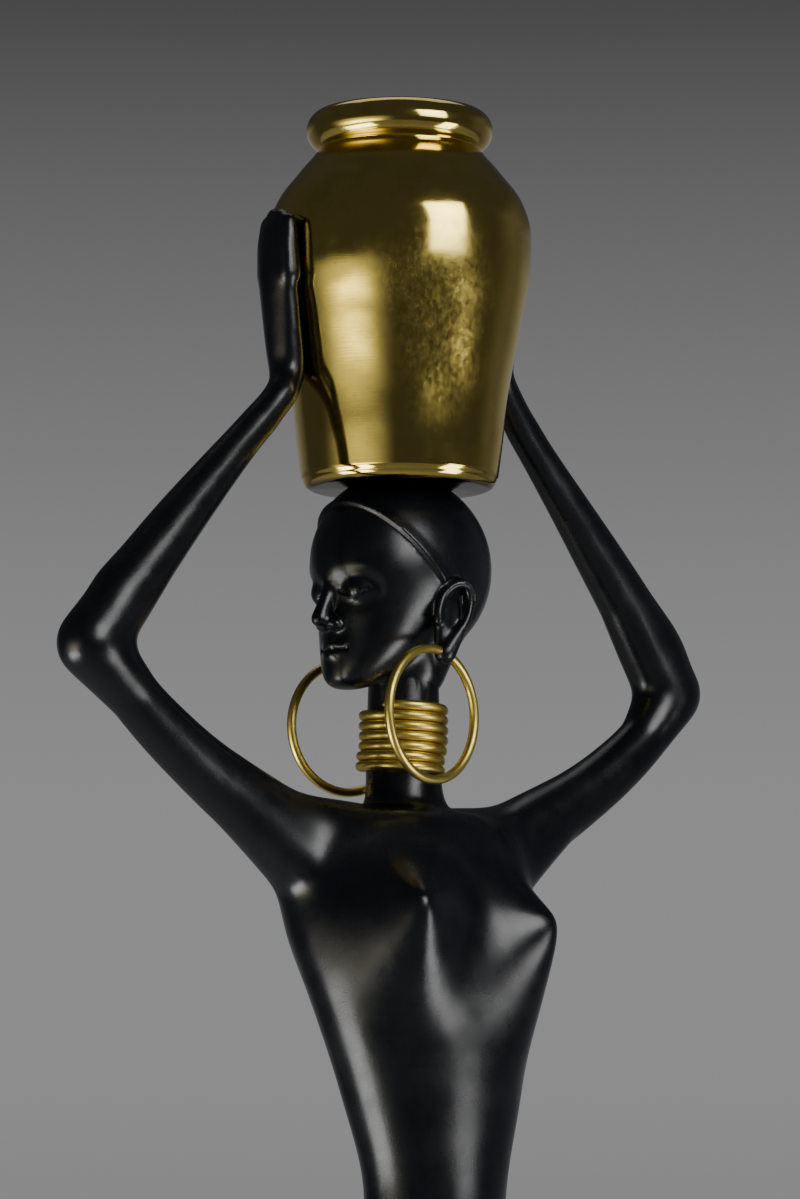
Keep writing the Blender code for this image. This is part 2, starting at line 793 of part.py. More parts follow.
def add_nose(clay):
    add_chain(
        clay,
        (
            (head_point(0, 0.410, 0.580), head_radii(0.050, 0.045, 0.050)),
            (head_point(0, 0.430, 0.500), head_radii(0.036, 0.040, 0.045)),
            (head_point(0, 0.462, 0.415), head_radii(0.034, 0.040, 0.045)),
            (head_point(0, 0.500, 0.335), head_radii(0.042, 0.044, 0.040)),
        ),
    )
    for side in (-1, 1):
        add_hull(
            clay,
            (
                (head_point(0, 0.470, 0.325), head_radii(0.034)),
                (head_point(0.055 * side, 0.435, 0.312), head_radii(0.030, 0.042, 0.032)),
            ),
        )


def add_mouth(clay):
    """Two full, closed lips."""
    for up, forward, thick, bend in ((0.217, 0.432, 0.027, -0.014), (0.168, 0.427, 0.031, 0.012)):
        balls = []
        for way in np.linspace(-1, 1, 9):
            place = head_point(0.098 * way, forward - 0.064 * way**2, up + bend * way**2)
            balls.append((place, head_radii(thick * (1 - 0.60 * way**2))))
        add_chain(clay, balls)


def add_ear(clay, side):
    """A rim that runs from the front over the top and down the back into the lobe."""
    rim = []
    for i in range(13):
        turn = math.radians(-30 + 255 * i / 12)
        forward = -0.030 + 0.080 * math.cos(turn) - 0.030 * math.sin(turn)
        up = 0.390 + 0.125 * math.sin(turn)
        stand = 0.352 + 0.040 * float(smooth_step((0.05 - forward) / 0.13))
        rim.append((head_point(stand * side, forward, up), head_radii(0.023)))
    add_chain(clay, rim)
    lobe = head_point(LOBE[0] * side, LOBE[1], LOBE[2] - 0.002)
    add_hull(clay, (rim[-1], (lobe, head_radii(0.052, 0.056, 0.052))))
    add_hull(
        clay,
        (
            (head_point(0.333 * side, -0.030, 0.390), head_radii(0.040, 0.080, 0.120)),
            (head_point(0.328 * side, 0.005, 0.235), head_radii(0.038, 0.050, 0.050)),
        ),
    )


def stroke(mesh, path, width, depth):
    """Raises the skin along a path by a depth, or presses it in if the depth is below nought.

    The path's points and the sizes are in metres. The effect fades out over the width.
    """
    places, normals = read_skin(mesh)
    points = np.array([tuple(point) for point in path])
    inside = (places > points.min(axis=0) - width) & (places < points.max(axis=0) + width)
    close = np.nonzero(inside.all(axis=1))[0]
    near = np.full(len(close), np.inf)
    for start, end in zip(points, [*points[1:], points[-1]]):
        span = end - start
        reach = max(float(span @ span), 1e-12)
        share = np.clip((places[close] - start) @ span / reach, 0, 1)
        gap = places[close] - start - share[:, None] * span
        near = np.minimum(near, np.linalg.norm(gap, axis=1))
    places[close] += normals[close] * (smooth_step(1 - near / width) * depth)[:, None]
    write_skin(mesh, places)


def head_stroke(mesh, path, width, depth):
    """A stroke on her head, in shares of its height."""
    points = [head_point(*place) for place in path]
    stroke(mesh, points, width * HEAD_HEIGHT, depth * HEAD_HEIGHT)


def carve_hair(mesh):
    """A close cap of hair with a raised edge that runs from the forehead down before the ear."""
    places, normals = read_skin(mesh)
    forward = -places[:, 0] / HEAD_HEIGHT
    side = np.abs(places[:, 1]) / HEAD_HEIGHT
    up = (places[:, 2] - CHIN_LEVEL) / HEAD_HEIGHT
    beyond = up - HAIR_SLOPE * np.maximum(forward, -0.05) - HAIR_LEVEL
    behind = 0.10 * up - forward - 0.16
    beyond = np.maximum(beyond, behind)
    cap = smooth_step(beyond / 0.024) * (0.012 + 0.012 * smooth_step(1 - beyond / 0.11))
    from_ear = np.hypot((forward + 0.035) / 0.095, (up - 0.385) / 0.150)
    ear = smooth_step((side - 0.300) / 0.03) * smooth_step((1.15 - from_ear) / 0.20)
    cap = cap * (1 - ear) * smooth_step((up - 0.10) / 0.25)
    write_skin(mesh, places + normals * (cap * HEAD_HEIGHT)[:, None])


def carve_sockets(mesh):
    """Shallow hollows for the eyes, under the brows."""
    for side in (-1, 1):
        socket = [(x * side, 0.46 - 0.5 * x, 0.490 - 0.10 * x) for x in (0.090, 0.135, 0.190)]
        head_stroke(mesh, socket, 0.120, -0.034)


def add_lids(clay):
    """Closed eyes."""
    for side in (-1, 1):
        add_chain(
            clay,
            (
                (head_point(0.085 * side, 0.384, 0.474), head_radii(0.036, 0.036, 0.028)),
                (head_point(0.130 * side, 0.368, 0.479), head_radii(0.060, 0.060, 0.054)),
                (head_point(0.180 * side, 0.340, 0.474), head_radii(0.036, 0.036, 0.028)),
            ),
        )


def carve_face(mesh):
    for side in (-1, 1):
        lashes = [
            (x * side, 0.45 - 0.34 * x, 0.448 + 4.5 * (x - 0.135) ** 2)
            for x in (0.062, 0.090, 0.120, 0.150, 0.180, 0.208)
        ]
        head_stroke(mesh, lashes, 0.016, -0.007)
    parting = [
        (x, 0.455 - 5.0 * x**2, 0.190 + 0.4 * x**2)
        for x in (-0.090, -0.045, 0.0, 0.045, 0.090)
    ]
    head_stroke(mesh, parting, 0.013, -0.009)


def carve_ear(mesh, side):
    hollow = [(0.345 * side, -0.045, 0.430), (0.345 * side, -0.025, 0.330)]
    head_stroke(mesh, hollow, 0.064, -0.018)


def build_head(group):
    """The skull's smooth mass first, then the features, fused to it."""
    clay = bmesh.new()
    add_skull(clay)
    skull = fused(clay, "skull", group, HEAD_VOXEL, SKULL_SOFTNESS)
    carve_sockets(skull.data)
    clay = bmesh.new()
    clay.from_mesh(skull.data)
    bpy.data.objects.remove(skull, do_unlink=True)
    add_nose(clay)
    add_mouth(clay)
    add_lids(clay)
    for side in (-1, 1):
        add_ear(clay, side)
    head = fused(clay, "head", group, HEAD_VOXEL, HEAD_SOFTNESS)
    carve_hair(head.data)
    carve_face(head.data)
    for side in (-1, 1):
        carve_ear(head.data, side)
    return reduced(head, HEAD_TRIANGLES)


def build_figure(group, cutters, patina):
    figure = build_body(group)
    head = as_cutter(build_head(cutters))
    boolean(figure, head, "UNION")
    for cutter in (
        jar_cutter(cutters),
        crown_cutter(cutters),
        sole_cutter(cutters),
        neck_cutter(cutters),
        hoop_cutter(-1, cutters),
        hoop_cutter(1, cutters),
    ):
        boolean(figure, cutter, "DIFFERENCE")
    figure.data.materials.append(patina)
    smooth_shaded(figure, 50)
    return figure


def build_base(group, black):
    shape = bmesh.new()
    place = Matrix.Translation((0, 0, BASE_HEIGHT / 2))
    bmesh.ops.create_cone(
        shape,
        cap_ends=True,
        segments=36,
        radius1=BASE_RADIUS,
        radius2=BASE_RADIUS,
        depth=BASE_HEIGHT,
        matrix=place,
    )
    base = object_from(shape, "base", group)
    bevel = base.modifiers.new("rounding", "BEVEL")
    bevel.width = BASE_ROUNDING
    bevel.segments = 2
    bevel.limit_method = "ANGLE"
    base.data.materials.append(black)
    smooth_shaded(base)
    return base


def main():
    clear_scene()
    group = collection("jar bearer")
    cutters = collection("cutters")
    patina = material("black patina", (0.012, 0.013, 0.015), 0.38, 0.35)
    black = material("black base", (0.010, 0.010, 0.011), 0.45, 0.20)
    brass = material("polished brass", (0.72, 0.50, 0.19), 0.22, 1.0)
    build_base(group, black)
    build_jar(group, brass)
    build_coil(group, brass)
    build_hoop(1, "earring_left", group, brass)
    build_hoop(-1, "earring_right", group, brass)
    build_figure(group, cutters, patina)


main()
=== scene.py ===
"""The jar bearer, dressed for rendering.

A fine skin of the figure, the jar, the neck spiral, the hoops and the base stand for the
solids of the frame. Metres, +Z up. Her body faces -Y and her head is turned towards -X.
"""

import math

import bmesh
import bpy
import numpy as np
from mathutils import Matrix, Vector


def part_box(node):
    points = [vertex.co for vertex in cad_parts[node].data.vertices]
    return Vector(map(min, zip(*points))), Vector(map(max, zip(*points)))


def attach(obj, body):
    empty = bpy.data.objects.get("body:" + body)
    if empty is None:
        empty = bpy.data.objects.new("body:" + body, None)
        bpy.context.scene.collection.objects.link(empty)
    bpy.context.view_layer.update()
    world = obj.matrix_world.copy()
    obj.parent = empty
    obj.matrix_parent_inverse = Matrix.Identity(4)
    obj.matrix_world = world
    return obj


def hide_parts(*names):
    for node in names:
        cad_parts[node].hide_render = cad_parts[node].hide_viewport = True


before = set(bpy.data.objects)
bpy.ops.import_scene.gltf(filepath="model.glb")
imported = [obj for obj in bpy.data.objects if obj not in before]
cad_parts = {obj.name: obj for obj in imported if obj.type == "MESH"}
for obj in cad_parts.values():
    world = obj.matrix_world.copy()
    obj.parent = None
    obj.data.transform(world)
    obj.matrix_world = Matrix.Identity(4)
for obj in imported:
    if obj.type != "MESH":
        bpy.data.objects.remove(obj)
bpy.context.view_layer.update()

# Pieces that touch keep this gap.
CONTACT_GAP = 0.0003

# Levels and sizes taken from the frame.
BASE_LOW, BASE_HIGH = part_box("base")
JAR_LOW, JAR_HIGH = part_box("jar")
BASE_RADIUS = (BASE_HIGH.x - BASE_LOW.x) / 2
BASE_HEIGHT = BASE_HIGH.z
SOLE_LEVEL = BASE_HEIGHT + CONTACT_GAP
JAR_LEVEL = JAR_LOW.z
CROWN_LEVEL = JAR_LEVEL - CONTACT_GAP
FIGURE_HEIGHT = CROWN_LEVEL - SOLE_LEVEL
HEAD_HEIGHT = 0.1240
CHIN_LEVEL = CROWN_LEVEL - HEAD_HEIGHT

BASE_ROUNDING = 0.005

# The floor, and the faint light of its own that keeps it pale without a lamp above.
FLOOR_RADIUS = 3.2
FLOOR_GLOW = 0.10

# The jar, a vessel of revolution. Levels are heights above its underside.
JAR_WALL = 0.0025
JAR_FLOOR = 0.0030
JAR_FOOT_RADIUS = 0.0587
JAR_FOOT_ROUNDING = 0.0065
JAR_BELLY_RADIUS = 0.0797
JAR_BELLY_LEVEL = 0.1440
JAR_THROAT_RADIUS = 0.0490
JAR_THROAT_LEVEL = 0.2065
LIP_RADIUS = 0.0565
LIP_ROLL = 0.0125

# How far the wall has swelled between foot and belly, and drawn in between belly and throat.
# Each pair is a share of the way up and a share of the change in radius.
JAR_SWELL = ((0, 0), (0.19, 0.16), (0.38, 0.30), (0.70, 0.71), (0.90, 0.965), (1, 1))
JAR_DRAW = (
    (0, 0), (0.269, 0.03), (0.566, 0.28), (0.720, 0.53), (0.825, 0.70), (0.910, 0.855), (1, 1)
)

# Spiral of wire round the neck.
COIL_WIRE = 0.0060
COIL_RADIUS = 0.0240
COIL_PITCH = 0.0061
COIL_TURNS = 6.4
COIL_TOP_DROP = 0.0040
COIL_CLEARANCE = 0.0006
COIL_DRIFT = 0.0025
NECK_BACK = 0.0030

# Hoops through the ear lobes. Her left side is 1 and her right side is -1.
HOOP_RADIUS = 0.0390
HOOP_WIRE = 0.0056
HOOP_HANG = {1: math.radians(18), -1: math.radians(8)}
HOOP_SPLAY = {1: math.radians(9.5), -1: math.radians(6)}

# How far the smoothing of a skin reaches.
BODY_SOFTNESS = 0.0028
JOIN_SOFTNESS = 0.0090
CHEST_SOFTNESS = 0.0042
LIMB_SOFTNESS = 0.0050
SKULL_SOFTNESS = 0.0054
HEAD_SOFTNESS = 0.0017
EYE_SOFTNESS = 0.0024

# Fineness of the skins.
BODY_VOXEL = 0.0015
HEAD_VOXEL = 0.0008
MOST_TRIANGLES = 190000
ROUND_STEPS = 128

# Levels and a radius worked out from the values above.
LIP_LEVEL = JAR_THROAT_LEVEL + 0.99 * LIP_ROLL
COIL_TOP_LEVEL = CHIN_LEVEL - COIL_TOP_DROP
COIL_LOW_LEVEL = COIL_TOP_LEVEL - COIL_TURNS * COIL_PITCH
NECK_CORE = COIL_RADIUS - COIL_WIRE / 2 - COIL_CLEARANCE

# Torso and skirt from the hem up, as shares of FIGURE_HEIGHT: level, how far forward the
# section's centre lies, half width and half depth.
TRUNK = (
    (0.048, 0.002, 0.0425, 0.0350),
    (0.062, 0.002, 0.0410, 0.0340),
    (0.140, 0.004, 0.0385, 0.0315),
    (0.253, 0.008, 0.0410, 0.0335),
    (0.400, 0.008, 0.0520, 0.0400),
    (0.500, 0.010, 0.0565, 0.0435),
    (0.571, 0.020, 0.0490, 0.0385),
    (0.637, 0.028, 0.0399, 0.0301),
    (0.687, 0.025, 0.0516, 0.0361),
    (0.738, 0.018, 0.0665, 0.0435),
    (0.772, 0.009, 0.0752, 0.0465),
    (0.800, 0.003, 0.0748, 0.0450),
    (0.820, 0.001, 0.0690, 0.0400),
    (0.833, 0.001, 0.0580, 0.0300),
)
TRUNK_RINGS = 110

# Places on her left half, as shares of FIGURE_HEIGHT: to her left, forward, up from the soles.
BREAST_ROOT = (0.0330, 0.0500, 0.7760)
BREAST_TIP = {1: (0.0450, 0.0700, 0.7758), -1: (0.0420, 0.0710, 0.7840)}
BREAST_REACH = {"side": 0.043, "up": 0.040, "down": 0.071}
BREAST_ROUNDING = 0.14

# A raised arm from the collar over the elbow to the wrist: to the left, up, and its radius.
ARM = (
    (0.0300, 0.8190, 0.0190),
    (0.0690, 0.8195, 0.0215),
    (0.0900, 0.8295, 0.0196),
    (0.1206, 0.8460, 0.0162),
    (0.1495, 0.8655, 0.0145),
    (0.1735, 0.8860, 0.0136),
    (0.1880, 0.9065, 0.0158),
    (0.1815, 0.9270, 0.0167),
    (0.1637, 0.9484, 0.0152),
    (0.1431, 0.9728, 0.0135),
    (0.1221, 0.9968, 0.0115),
    (0.1005, 1.0208, 0.0097),
    (0.0860, 1.0370, 0.0093),
    (0.0750, 1.0510, 0.0094),
)
ARM_FORWARD = -0.0034
ELBOW_STATION = 6
ELBOW_POINT = {1: 0.1912, -1: 0.1965}
ELBOW_RADIUS = 0.0186
UPPER_ARM_OUT = {1: 0.0032, -1: -0.0010}
WRIST_LIFT = 0.0065
HAND_FORWARD = {1: -0.0055, -1: -0.0092}

# A hand on the jar: height above the wrist, distance off the wall, half thickness, half width.
HAND = (
    (0.0110, 0.0126, 0.0106, 0.0118),
    (0.0260, 0.0120, 0.0102, 0.0132),
    (0.0440, 0.0108, 0.0094, 0.0144),
    (0.0620, 0.0097, 0.0086, 0.0152),
    (0.0800, 0.0088, 0.0077, 0.0150),
    (0.0950, 0.0082, 0.0068, 0.0140),
)
FINGERTIPS = (0.1022, 0.1058, 0.1072, 0.1030)

# Where the skin is evened out most: places and reaches, as shares of FIGURE_HEIGHT.
SOFT_SPOTS = (
    ((0.000, 0.004, 0.812), 0.050),
    ((0.062, 0.000, 0.822), 0.060),
    ((0.058, 0.000, 0.790), 0.055),
    ((0.030, 0.020, 0.790), 0.055),
)

# The lobe's hole, as shares of HEAD_HEIGHT: sideways, forward and up from the chin.
LOBE = (0.345, 0.005, 0.176)

# The skull's egg: its centre above the chin, and its half sizes sideways, forward and up.
SKULL_LEVEL = 0.620
SKULL_RADII = (0.370, 0.482, 0.452)

# The face below the brow, from the chin up, as shares of HEAD_HEIGHT: level, how far forward
# the section's centre lies, half width and half depth.
FACE = (
    (0.004, 0.335, 0.070, 0.055),
    (0.022, 0.318, 0.112, 0.108),
    (0.060, 0.288, 0.152, 0.150),
    (0.110, 0.248, 0.190, 0.192),
    (0.170, 0.205, 0.226, 0.230),
    (0.240, 0.165, 0.258, 0.266),
    (0.320, 0.135, 0.284, 0.297),
    (0.400, 0.110, 0.302, 0.325),
    (0.480, 0.092, 0.314, 0.348),
    (0.560, 0.072, 0.322, 0.372),
    (0.700, 0.030, 0.300, 0.395),
)
FACE_RINGS = 40

# The hair's edge, seen from the side, is a slanting line: its slope and its height at the ear.
HAIR_SLOPE = 1.1
HAIR_LEVEL = 0.470

# The camera: a long lens, a little below her head, turned to her right side.
CAMERA_PLACE = (-2.298, -2.739, 0.711)
CAMERA_AZIMUTH = math.radians(-40)
CAMERA_PITCH = math.radians(6.73)
CAMERA_LENS = 180.15

# Soft boxes: azimuth from the camera's side to the right and elevation in degrees, distance,
# width and height, power, the level of the spot that they light, and the beam's spread.
LAMPS = (
    ("box_right", 42, 22, 2.2, 1.25, 1.22, 7.0, 1.20, 80),
    ("box_low_left", -60, -33, 1.5, 1.0, 0.5, 4.7, 1.10, 100),
    ("box_low_right", 68, -30, 1.5, 0.5, 0.8, 2.6, 1.30, 100),
    ("box_top", 180, 62, 2.2, 1.6, 1.0, 1.6, 1.20, 120),
)

# Worn patches on the jar: azimuth from the camera's side to the right in degrees, level, reach.
SCUFFS = ((20, 0.105, 0.055), (22, 0.070, 0.045), (2, 0.118, 0.036), (-160, 0.090, 0.050))

# The wall's grey by height, from low to high.
WALL_TONES = (
    (0.0, 0.12), (0.50, 0.235), (0.557, 0.272), (0.61, 0.280), (0.65, 0.270),
    (0.695, 0.240), (0.75, 0.187), (0.805, 0.131), (0.857, 0.072), (1.0, 0.03),
)

# The wall's tones run between these heights, as the sine of elevation, and reflections see the
# wall only from the first depth behind the object on, and in full at the second.
WALL_HEIGHTS = (-0.30, 0.30)
WALL_DEPTHS = (0.60, 1.00)

# The room that only reflections and soft light see, with its tints where it is dim and where it
# glows. Glows: azimuth, half width and soft edge in degrees; lower and upper height and its soft
# edge as the sine of elevation; strength.
ROOM_DIM = 0.046
DIM_TINT = (0.95, 0.98, 1.12)
GLOW_TINT = (1.0, 0.94, 0.60)
ROOM_GLOWS = (
    (-50.0, 0.0, 46.0, -0.50, -0.13, 0.20, 1.0),
    (-52.0, 0.0, 34.0, -0.45, -0.31, 0.16, 6.5),
    (150.0, 30.0, 30.0, -0.20, 0.30, 0.20, 0.06),
)

# Colours of the surfaces.
PATINA_DARK = (0.0022, 0.0026, 0.0036)
PATINA_PALE = (0.0050, 0.0056, 0.0072)
PATINA_RUBBED = (0.0090, 0.0095, 0.0105)
BASE_DARK = (0.0070, 0.0070, 0.0075)
BASE_PALE = (0.0140, 0.0140, 0.0150)
BRASS_CLEAN = (0.760, 0.585, 0.140)
BRASS_TARNISHED = (0.330, 0.260, 0.075)
# Painted shade: the near-black laid on the jar's underside, where it stands on her head.
BRASS_PAINTED_SHADE = (0.045, 0.038, 0.020)
FLOOR_DARK = (0.80, 0.80, 0.80)
FLOOR_PALE = (0.84, 0.84, 0.84)


def add_object(name, data):
    made = bpy.data.objects.new(name, data)
    bpy.context.scene.collection.objects.link(made)
    return made


def object_from(shape, name):
    """An object from a finished bmesh, which is freed."""
    mesh = bpy.data.meshes.new(name)
    shape.to_mesh(mesh)
    shape.free()
    return add_object(name, mesh)


def as_mesh(item):
    """Replaces an object, its modifiers and a curve's own shape by the plain mesh they make."""
    bpy.context.view_layer.update()
    graph = bpy.context.evaluated_depsgraph_get()
    mesh = bpy.data.meshes.new_from_object(item.evaluated_get(graph))
    weld = bmesh.new()
    weld.from_mesh(mesh)
    bmesh.ops.remove_doubles(weld, verts=weld.verts, dist=1e-6)
    weld.to_mesh(mesh)
    weld.free()
    name, place = item.name, item.matrix_world.copy()
    bpy.data.objects.remove(item, do_unlink=True)
    plain = add_object(name, mesh)
    plain.matrix_world = place
    return plain


def smooth_shaded(item, sharp_degrees=50):
    item.data.shade_smooth()
    item.data.set_sharp_from_angle(angle=math.radians(sharp_degrees))


def combined(item, other, operation):
    """The item joined with another, or cut by it. The other is used up."""
    modifier = item.modifiers.new(operation.lower(), "BOOLEAN")
    modifier.operation = operation
    modifier.object = other
    modifier.solver = "MANIFOLD"
    made = as_mesh(item)
    bpy.data.objects.remove(other, do_unlink=True)
    return made


def add_ball(clay, centre, radii, segments=20):
    placed = Matrix.Translation(centre) @ Matrix.Diagonal((*radii, 1.0))
    bmesh.ops.create_uvsphere(
        clay, u_segments=segments, v_segments=segments // 2 + 1, radius=1.0, matrix=placed
    )


def add_hull(clay, balls):
    """The skin stretched over several balls, each a centre and three radii."""
    hull = bmesh.new()
    for centre, radii in balls:
        add_ball(hull, centre, radii)
    made = bmesh.ops.convex_hull(hull, input=hull.verts)
    spare = {v for v in made["geom_interior"] if isinstance(v, bmesh.types.BMVert)}
    bmesh.ops.delete(hull, geom=list(spare), context="VERTS")
    mesh = bpy.data.meshes.new("hull")
    hull.to_mesh(mesh)
    hull.free()
    clay.from_mesh(mesh)
    bpy.data.meshes.remove(mesh)


def add_chain(clay, balls):
    """A limb: each ball is joined to the next by a stretched skin."""
    for pair in zip(balls, balls[1:]):
        add_hull(clay, pair)


def add_loft(clay, rings):
    """A closed skin through rings that have the same number of points."""
    loops = [[clay.verts.new(point) for point in ring] for ring in rings]
    count = len(loops[0])
    for lower, upper in zip(loops, loops[1:]):
        for i in range(count):
            j = (i + 1) % count
            clay.faces.new((lower[i], lower[j], upper[j], upper[i]))
    clay.faces.new(reversed(loops[0]))
    clay.faces.new(loops[-1])


def fused(clay, name, voxel, softness):
    """One smooth skin round overlapping shapes."""
    item = object_from(clay, name)
    remesh = item.modifiers.new("fuse", "REMESH")
    remesh.mode = "VOXEL"
    remesh.voxel_size = voxel
    item = as_mesh(item)
    eased(item.data, softness, voxel)
    return item


def read_skin(mesh):
    """The places and normals of a mesh's points."""
    places = np.empty(len(mesh.vertices) * 3, dtype=np.float32)
    normals = np.empty(len(mesh.vertices) * 3, dtype=np.float32)
    mesh.vertices.foreach_get("co", places)
    mesh.vertex_normals.foreach_get("vector", normals)
    return places.reshape(-1, 3), normals.reshape(-1, 3)


def write_skin(mesh, places):
    mesh.vertices.foreach_set("co", places.astype(np.float32).ravel())
    mesh.update()


def eased(mesh, softness, voxel, spots=()):
    """Evens out the skin: everywhere, or only round some spots, each a place and a reach."""
    places = read_skin(mesh)[0].astype(np.float64)
    ends = np.empty(len(mesh.edges) * 2, dtype=np.int32)
    mesh.edges.foreach_get("vertices", ends)
    first, second = ends.reshape(-1, 2).T
    weight = np.full(len(places), 0.0 if spots else 1.0)
    for place, reach in spots:
        gap = np.linalg.norm(places - np.array(place), axis=1)
        weight = np.maximum(weight, smooth_step((reach - gap) / (0.6 * reach)))
    used = (weight[first] > 0) | (weight[second] > 0)
    first, second = first[used], second[used]
    count = len(places)
    meets = np.bincount(first, minlength=count) + np.bincount(second, minlength=count)
    share = 0.5 * weight / np.maximum(meets, 1)
    for _ in range(round(4 * (softness / voxel) ** 2)):
        for axis in range(3):
            line = places[:, axis]
            pull = np.bincount(first, line[second] - line[first], count)
            pull += np.bincount(second, line[first] - line[second], count)
            places[:, axis] = line + share * pull
    write_skin(mesh, places)


def drawn_out(mesh, root, tip, side, up, down):
    """Pulls the skin out to a soft point. The pull fades over a reach to the side, up and down."""
    places = read_skin(mesh)[0].astype(np.float64)
    way = np.array(tip) - np.array(root)
    axis = way / np.linalg.norm(way)
    across = np.cross(axis, (0.0, 0.0, 1.0))
    across /= np.linalg.norm(across)
    upward = np.cross(across, axis)
    rel = places - np.array(root)
    high = rel @ upward
    gap = np.hypot(rel @ across / side, high / np.where(high > 0, up, down))
    gap = np.hypot(gap, BREAST_ROUNDING) - BREAST_ROUNDING
    amount = (1 - np.clip(gap, 0, 1)) ** 1.9 * smooth_step((rel @ axis + 0.024) / 0.022)
    write_skin(mesh, places + amount[:, None] * way)


def reduced(item, triangles):
    """The same skin with at most about so many triangles."""
    item.data.calc_loop_triangles()
    count = len(item.data.loop_triangles)
    if count <= triangles:
        return item
    reduce = item.modifiers.new("reduce", "DECIMATE")
    reduce.ratio = triangles / count
    return as_mesh(item)


def smooth_path(stations, at):
    """Values at given levels on a smooth curve through stations, whose first column is the level."""
    knots = np.array(stations, dtype=float)
    slopes = np.gradient(knots, knots[:, 0], axis=0)
    at = np.atleast_1d(at)
    index = np.clip(np.searchsorted(knots[:, 0], at) - 1, 0, len(knots) - 2)
    span = (knots[index + 1, 0] - knots[index, 0])[:, None]
    t = (at[:, None] - knots[index, :1]) / span
    rise = (2 * t**3 - 3 * t**2 + 1) * knots[index] + (3 * t**2 - 2 * t**3) * knots[index + 1]
    lean = (t**3 - 2 * t**2 + t) * slopes[index] + (t**3 - t**2) * slopes[index + 1]
    return rise + lean * span


def smooth_step(value):
    value = np.clip(value, 0.0, 1.0)
    return value * value * (3 - 2 * value)


def body_point(left, forward, up):
    """A place given in shares of the figure's height."""
    return Vector((left, -forward, up)) * FIGURE_HEIGHT + Vector((0, 0, SOLE_LEVEL))


def body_radii(*shares):
    """Radii along X, Y and Z. One share makes a ball."""
    shares = shares * 3 if len(shares) == 1 else shares
    return Vector(shares) * FIGURE_HEIGHT


def head_point(left, forward, up):
    """A place on her head in shares of its height: to her left, the way she faces, up from the chin."""
    return Vector((-forward, -left, up)) * HEAD_HEIGHT + Vector((0, 0, CHIN_LEVEL))


def head_radii(*shares):
    """Radii sideways, forward and up. One share makes a ball."""
    side, forward, up = shares * 3 if len(shares) == 1 else shares
    return Vector((forward, side, up)) * HEAD_HEIGHT


def mirrored(place, side):
    return (place[0] * side, *place[1:])


def jar_radius(level):
    """Outer radius of the jar at a height above its underside, from the foot to the throat."""
    if level <= JAR_BELLY_LEVEL:
        share = smooth_path(JAR_SWELL, max(0.0, level) / JAR_BELLY_LEVEL)[0, 1]
        return JAR_FOOT_RADIUS + (JAR_BELLY_RADIUS - JAR_FOOT_RADIUS) * share
    way = (level - JAR_BELLY_LEVEL) / (JAR_THROAT_LEVEL - JAR_BELLY_LEVEL)
    share = smooth_path(JAR_DRAW, min(1.0, way))[0, 1]
    return JAR_BELLY_RADIUS - (JAR_BELLY_RADIUS - JAR_THROAT_RADIUS) * share


def arc(centre, radius, start, end, steps):
    """Points on an arc in the profile's plane. Angles are in degrees."""
    turn = [math.radians(start + (end - start) * i / steps) for i in range(steps + 1)]
    return [(centre[0] + radius * math.cos(a), centre[1] + radius * math.sin(a)) for a in turn]


def jar_wall(inset, rings=80):
    """The wall's profile from foot to throat, moved inwards by an inset."""
    levels = np.linspace(JAR_FOOT_ROUNDING, JAR_THROAT_LEVEL, rings)
    radii = np.array([jar_radius(level) for level in levels])
    slope = np.gradient(radii, levels)
    length = np.sqrt(1 + slope**2)
    return list(zip(radii - inset / length, levels + inset * slope / length))


def jar_outline(swelling=0.0):
    """The outside from the middle of the underside to the throat, all of it larger by a swelling."""
    corner = (jar_radius(0) - JAR_FOOT_ROUNDING, JAR_FOOT_ROUNDING)
    foot = arc(corner, JAR_FOOT_ROUNDING + swelling, -90, 0, 12)
    return [(0.0, -swelling), *foot[:-1], *jar_wall(-swelling)]


def jar_profile():
    lip_centre = (LIP_RADIUS - LIP_ROLL, LIP_LEVEL)
    meet_outside = math.degrees(math.acos((JAR_THROAT_RADIUS - lip_centre[0]) / LIP_ROLL))
    throat_inside = JAR_THROAT_RADIUS - JAR_WALL
    meet_inside = math.degrees(math.acos((throat_inside - lip_centre[0]) / LIP_ROLL))
    lip = arc(lip_centre, LIP_ROLL, -meet_outside, 360 - meet_inside, 56)
    wall = reversed(jar_wall(JAR_WALL, 60))
    inside = [point for point in wall if point[1] > JAR_FLOOR + 0.004]
    floor = [(inside[-1][0] - 0.003, JAR_FLOOR), (0.0, JAR_FLOOR)]
    return [*jar_outline(), *lip, *inside, *floor]


def turned(profile, name):
    """A solid of revolution about Z from a profile of radius and height."""
    shape = bmesh.new()
    points = [shape.verts.new((radius, 0, height)) for radius, height in profile]
    for pair in zip(points, points[1:]):
        shape.edges.new(pair)
    item = object_from(shape, name)
    screw = item.modifiers.new("turn", "SCREW")
    screw.steps = screw.render_steps = ROUND_STEPS
    screw.use_merge_vertices = True
    screw.merge_threshold = 1e-5
    screw.use_normal_calculate = True
    return facing_out(as_mesh(item))


def facing_out(item):
    shape = bmesh.new()
    shape.from_mesh(item.data)
    bmesh.ops.recalc_face_normals(shape, faces=shape.faces)
    shape.to_mesh(item.data)
    shape.free()
    return item


def coil_centre(level):
    """The lower turns sit a little off the neck's axis."""
    low = smooth_step((COIL_TOP_LEVEL - level) / (COIL_TURNS * COIL_PITCH) * 3.2 - 2.0)
    return Vector((NECK_BACK - COIL_DRIFT * float(low), 0, level))


def hoop_frame(side):
    """Where a hoop hangs: its wire runs through the lobe, a little behind the hoop's top."""
    lobe = head_point(*mirrored(LOBE, side))
    splay = Matrix.Rotation(side * HOOP_SPLAY[side], 4, "Z")
    upright = Matrix.Rotation(math.radians(90), 4, "X")
    hang = HOOP_HANG[side]
    reach = Vector((-math.sin(hang), 0, -math.cos(hang))) * HOOP_RADIUS
    return Matrix.Translation(lobe + splay @ reach) @ splay @ upright


